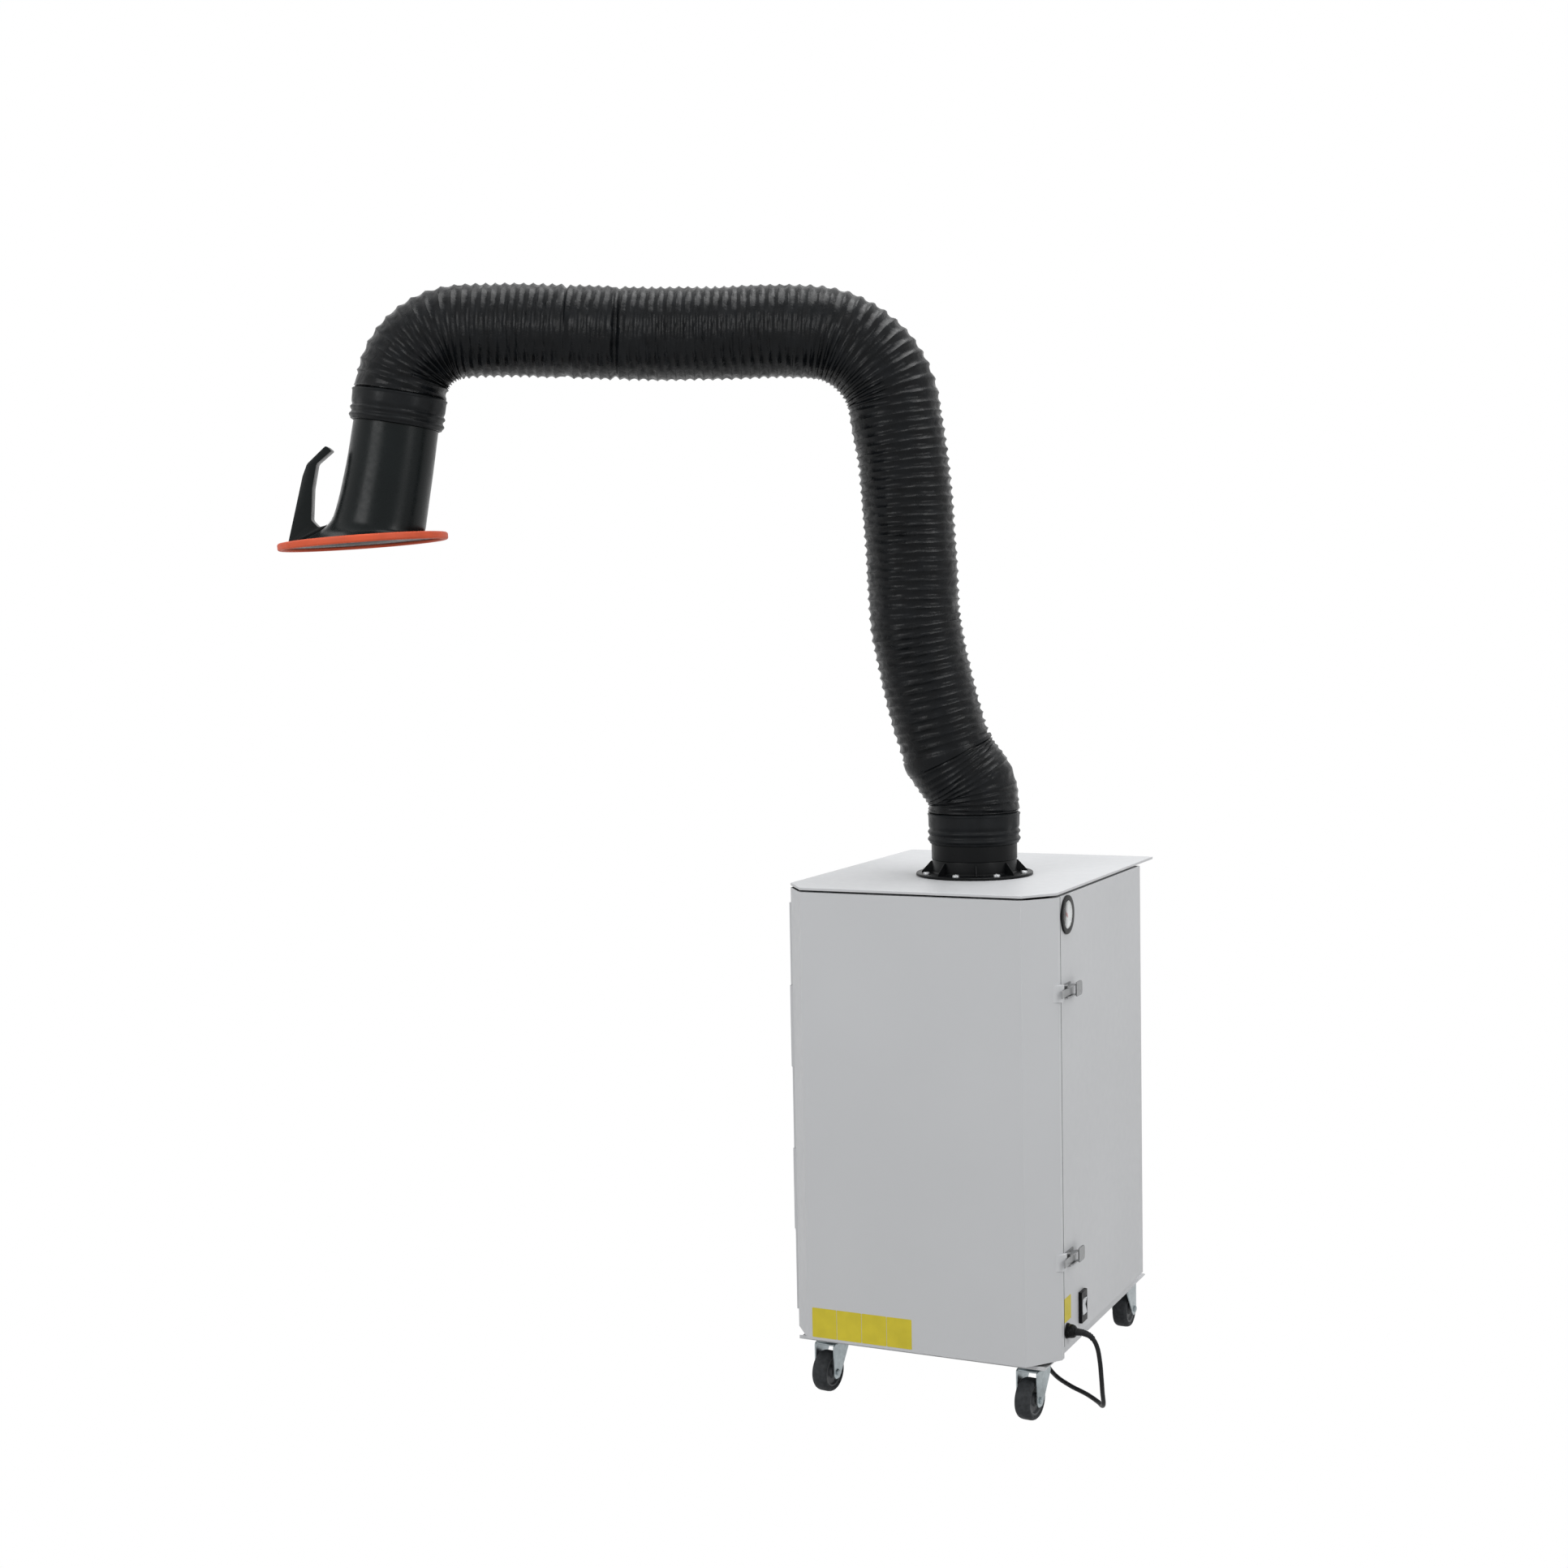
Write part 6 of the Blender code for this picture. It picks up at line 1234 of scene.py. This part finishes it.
BENDS = {
    "base_plate": 0.0012, "left_panel": 0.0007, "right_panel": 0.0007, "rear_panel": 0.0007,
    "top_cover": 0.0016, "exhaust_box": 0.0007, "door": 0.0007,
}


def add_panels():
    for name, width in BENDS.items():
        body = "door" if name == "door" else "root"
        trim = SEAM_GAP if name in ("left_panel", "right_panel") else 0
        softened(f"{name}_finish", name, body, "powder", width, trim=trim)


def add_seam_shadow_sheets():
    """A dark rubber sheet in the gap where the door's turned-in sides meet the side panels: painted shade,
    standing for the seam's shadow.
    """
    low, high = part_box("right_panel")
    front = SEAM + SEAT
    for name, sign in (("left", -1), ("right", 1)):
        near, far = sorted((sign * (HALF_WIDTH - SEAT), sign * (HALF_WIDTH - SEAM_SHADE_SHEET_DEPTH)))
        back = front + SEAM_GAP
        data = pushed(rectangle(near, front, far, back), low.z, high.z, Matrix.Translation(SHIFT))
        # painted shade: the dark gasket rubber fills the seam's gap so that it reads as a shadow line
        placed(f"seam_shade_sheet_{name}", data, "gasket", "root")


# Small fittings on the right side

GAUGE_AT = (-0.1725, 0.915)
GAUGE_RADIUS = 0.035
GAUGE_PROUD = 0.0035
GAUGE_BARREL = 0.030
GAUGE_BACK = -0.038
GAUGE_SOFT = 0.0010
GAUGE_SOFT_SHARES = (0.4, 0.3)
GAUGE_DIAL_EDGE = (0.0008, 0.0006)
GAUGE_DIAL_SHEET = 0.0002
LENS_GAP = 0.0003
LENS_LOW = 0.0011
LENS_EDGE = (0.0008, 0.0004)
GAUGE_DROP = 0.0034
GAUGE_DIAL = 0.0255
TICKS = 21
TICK_OUTER = 0.0232
TICK_SPAN = math.radians(250)
TICK_LONG = (0.0185, 0.00045)
TICK_SHORT = (0.0205, 0.00025)
TICKS_BETWEEN = 5
TICK_SHEET = 0.00008
NEEDLE_SOFT = 0.0001
SWITCH_FRAME_SOFT = 0.0011
SWITCH_KEY_SOFT = 0.0009


def add_gauge():
    place = on_right(*GAUGE_AT)
    rim, proud, face = GAUGE_RADIUS, GAUGE_PROUD, GAUGE_PROUD - GAUGE_DROP
    low = face - GAUGE_DIAL_SHEET
    bezel = [
        (0, GAUGE_BACK), (GAUGE_BARREL, GAUGE_BACK), (GAUGE_BARREL, SEAT), (rim, SEAT),
        (rim, proud - GAUGE_SOFT),
        (rim - GAUGE_SOFT * GAUGE_SOFT_SHARES[0], proud - GAUGE_SOFT * GAUGE_SOFT_SHARES[1]),
        (rim - GAUGE_SOFT, proud), (GAUGE_DIAL + GAUGE_DIAL_EDGE[0], proud),
        (GAUGE_DIAL, proud - GAUGE_DIAL_EDGE[1]), (GAUGE_DIAL, low), (0, low),
    ]
    placed("gauge_bezel", lathe(bezel, place, SIDES, False), "plastic", "root", ("gauge_body",))
    plate = [(0, low), (GAUGE_DIAL, low), (GAUGE_DIAL, face), (0, face)]
    placed("gauge_dial", lathe(plate, place, SIDES, False), "dial", "root")
    marks = bmesh.new()
    for i in range(TICKS):
        angle = math.pi / 2 + TICK_SPAN / 2 - TICK_SPAN * i / (TICKS - 1)
        inner, wide = TICK_SHORT if i % TICKS_BETWEEN else TICK_LONG
        turn = place @ Matrix.Rotation(angle, 4, "Z")
        pushed(rectangle(inner, -wide, TICK_OUTER, wide), face, face + TICK_SHEET, turn, marks)
    placed("gauge_ticks", from_bmesh(marks), "plastic", "root")
    edge = GAUGE_DIAL - LENS_GAP
    lens = [
        (0, proud - LENS_LOW), (edge, proud - LENS_LOW), (edge, proud - LENS_EDGE[1]),
        (GAUGE_DIAL - LENS_EDGE[0], proud - SEAT), (0, proud - SEAT),
    ]
    placed("gauge_glass", lathe(lens, place, SIDES, False), "lens", "root", ("gauge_lens",))
    softened("gauge_pointer", "gauge_needle", "gauge_needle", "red", NEEDLE_SOFT, 1)


def add_switch():
    softened("switch_frame", "switch_housing", "root", "plastic", SWITCH_FRAME_SOFT)
    softened("switch_key", "switch_rocker", "switch_rocker", "pale", SWITCH_KEY_SOFT)


GLAND_AT = (-0.1945, 0.163)
GLAND_PROUD = 0.017
GLAND_RING = 0.014
GLAND_RING_RISES = (0.0022, 0.0030)
GLAND_RING_SOFT = 0.0008
GLAND_BARREL = 0.010
GLAND_BACK = -0.006
GLAND_NUT = 0.0128
GLAND_NUT_TOP = 0.0072
GLAND_NUT_BREAK = 0.0005
GLAND_DOME = ((0.0118, 0.0072), (0.0120, 0.0078), (0.0118, 0.0108))
GLAND_DOME_IN = 0.0040
GLAND_MOUTH_DEPTH = 0.0025
GLAND_RIBS = 12
GLAND_RIB = (0.0116, -0.0007, 0.0124, 0.0007)
GLAND_RIB_RISES = (0.0076, 0.0112)
GLAND_RIB_BREAK = 0.0002


def add_gland():
    """The cable gland: a locking ring, six flats, and a domed sealing nut with ribs."""
    place = on_right(*GLAND_AT)
    rim, barrel, mouth = GLAND_RING, GLAND_BARREL, CORD_DIAMETER / 2 + SEAT
    low, top = GLAND_RING_RISES
    shape = bmesh.new()
    ring = [(barrel, SEAT), (rim, SEAT), (rim, low), (rim - GLAND_RING_SOFT, top), (barrel, top)]
    lathe(ring, place, SMALL_SIDES, True, shape)
    pushed(circle(GLAND_NUT, FLATS), top, GLAND_NUT_TOP, place, shape, GLAND_NUT_BREAK)
    side, spring = GLAND_DOME[-1]
    floor = GLAND_PROUD - GLAND_MOUTH_DEPTH
    dome = [(0, GLAND_NUT_TOP), *GLAND_DOME]
    dome += shoulder(side, spring, GLAND_DOME_IN, GLAND_PROUD - spring, 8)
    dome += [(mouth, GLAND_PROUD), (mouth, floor), (0, floor)]
    lathe(dome, place, SMALL_SIDES, False, shape)
    back = [(0, GLAND_BACK), (barrel, GLAND_BACK), (barrel, SEAT * 2), (0, SEAT * 2)]
    lathe(back, place, BARREL_SIDES, False, shape)
    for i in range(GLAND_RIBS):
        turn = place @ Matrix.Rotation(FULL_TURN * i / GLAND_RIBS, 4, "Z")
        pushed(rectangle(*GLAND_RIB), *GLAND_RIB_RISES, turn, shape, GLAND_RIB_BREAK)
    placed("gland_nut", from_bmesh(shape), "plastic", "root", ("cord_gland",))


RIVETS = (0.011, 0.039)
RIVET_RADIUS = 0.0028
RIVET_HEIGHT = 0.0014
LATCH_SHEET = 0.0025
LATCH_PIECES = (("plate", "base", 0.0005), ("arm", "lever", 0.0006), ("claw", "hook", 0.0004))


def add_latches():
    for side in ("upper", "lower"):
        for piece, part, width in LATCH_PIECES:
            solid = f"latch_{part}_{side}"
            softened(f"latch_{side}_{piece}", solid, "root" if part == "base" else solid, "chrome", width)
        axis = joint_at(f"latch_lever_{side}_turn")
        shape = bmesh.new()
        for back in RIVETS:
            seat = cabinet(HALF_WIDTH + SEAT + LATCH_SHEET, SEAM + back, axis.z)
            domed_bolt(shape, Matrix.Translation(seat) @ FACE_OUT, RIVET_RADIUS, RIVET_HEIGHT)
        placed(f"latch_{side}_rivets", from_bmesh(shape), "steel", "root")


# Plates

FRONT_PLATES = ((-0.2035, -0.1545), (-0.1537, -0.1047), (-0.1039, -0.0549), (-0.0541, -0.0051))
FRONT_PLATE_Z = (0.122, 0.1775)
SIDE_PLATE_Y = (-0.2075, -0.1707)
SIDE_PLATE_Z = (0.180, 0.224)
PLATE_SHEET = 0.0002
PLATE_ROUND = 0.0018
PLATE_GAP = 0.00005


def plate_on(place, width, height, name, body):
    outline = fillet(rectangle(-width / 2, -height / 2, width / 2, height / 2), PLATE_ROUND, 4)
    placed(name, pushed(outline, PLATE_GAP, PLATE_SHEET + PLATE_GAP, place), "yellow", body)


def add_plates():
    low, high = FRONT_PLATE_Z
    for i, (start, end) in enumerate(FRONT_PLATES):
        place = on_front((start + end) / 2, (low + high) / 2)
        plate_on(place, end - start, high - low, f"plate_front_{i + 1}", "door")
    y, z = sum(SIDE_PLATE_Y) / 2, sum(SIDE_PLATE_Z) / 2
    size = (SIDE_PLATE_Y[1] - SIDE_PLATE_Y[0], SIDE_PLATE_Z[1] - SIDE_PLATE_Z[0])
    plate_on(on_right(y, z), *size, "plate_side", "root")


# Backdrop, light and picture

FLOOR_REACH = 14.0
FLOOR_LEVEL = -0.0005
FLOOR_TONE = 0.50
ROOM_LIGHT = 0.48
WHITE = (1, 1, 1, 1)
LAMPS = (
    ("key", (-1.6, -4.0, 3.2), (0, 0, 0.9), (2.0, 2.0), 64),
    ("side", (3.6, -1.2, 2.6), (0, 0, 0.8), (1.4, 2.2), 44),
    ("top", (0.2, 0.4, 4.4), (0, 0, 0.9), (2.4, 2.4), 80),
)


def add_backdrop():
    made, shader = shader_of("backdrop", (FLOOR_TONE,) * 3, 0.9)
    glow = node(made.node_tree, "ShaderNodeEmission", Color=WHITE, Strength=1.0)
    shown_white(made.node_tree, shader, glow, "Material Output")
    shape = bmesh.new()
    corners = rectangle(-FLOOR_REACH, -FLOOR_REACH, FLOOR_REACH, FLOOR_REACH)
    shape.faces.new([shape.verts.new((x, y, FLOOR_LEVEL)) for x, y in corners])
    data = as_mesh(shape)
    data.materials.append(made)
    in_scene("floor", data)


def add_area(name, place, aim, size, power):
    data = bpy.data.lights.new(name, "AREA")
    data.shape = "RECTANGLE"
    data.size, data.size_y = size
    data.energy = power
    lamp = in_scene(name, data)
    start = cabinet(*place)
    lamp.matrix_world = looking(start, start - cabinet(*aim))


def add_light():
    world = bpy.data.worlds.new("studio")
    bpy.context.scene.world = world
    world.use_nodes = True
    tree = world.node_tree
    sky = tree.nodes["Background"]
    sky.inputs["Color"].default_value = WHITE
    sky.inputs["Strength"].default_value = ROOM_LIGHT
    white = node(tree, "ShaderNodeBackground", Color=WHITE, Strength=1.0)
    shown_white(tree, sky, white, "World Output")
    for lamp in LAMPS:
        add_area(*lamp)


def set_picture():
    scene = bpy.context.scene
    scene.view_settings.view_transform = "Standard"
    scene.view_settings.look = "None"
    scene.view_settings.exposure = 0.0
    scene.view_settings.gamma = 1.0


def main():
    add_camera()
    add_cord()
    add_panels()
    # the seam's dark line is painted shade, a dark sheet in the gap
    add_seam_shadow_sheets()
    finish_plain_solids()
    add_gauge()
    add_switch()
    add_gland()
    add_latches()
    add_plates()
    add_casters()
    add_flange()
    add_swivel_pipe()
    add_cuff("cuff_base", "base_cuff", "arm_base", ARM_PLACE, COVER_TOP + CUFF_LOW, CUFF_RADIUS, DUCT_RADIUS)
    add_hose()
    add_cuff("cuff_hood", "hood_cuff", "wrist", HOOD_PLACE, 0, HOOD_CUFF_RADIUS, HOOD_CUFF_BORE)
    add_hood()
    add_backdrop()
    add_light()
    set_picture()


main()
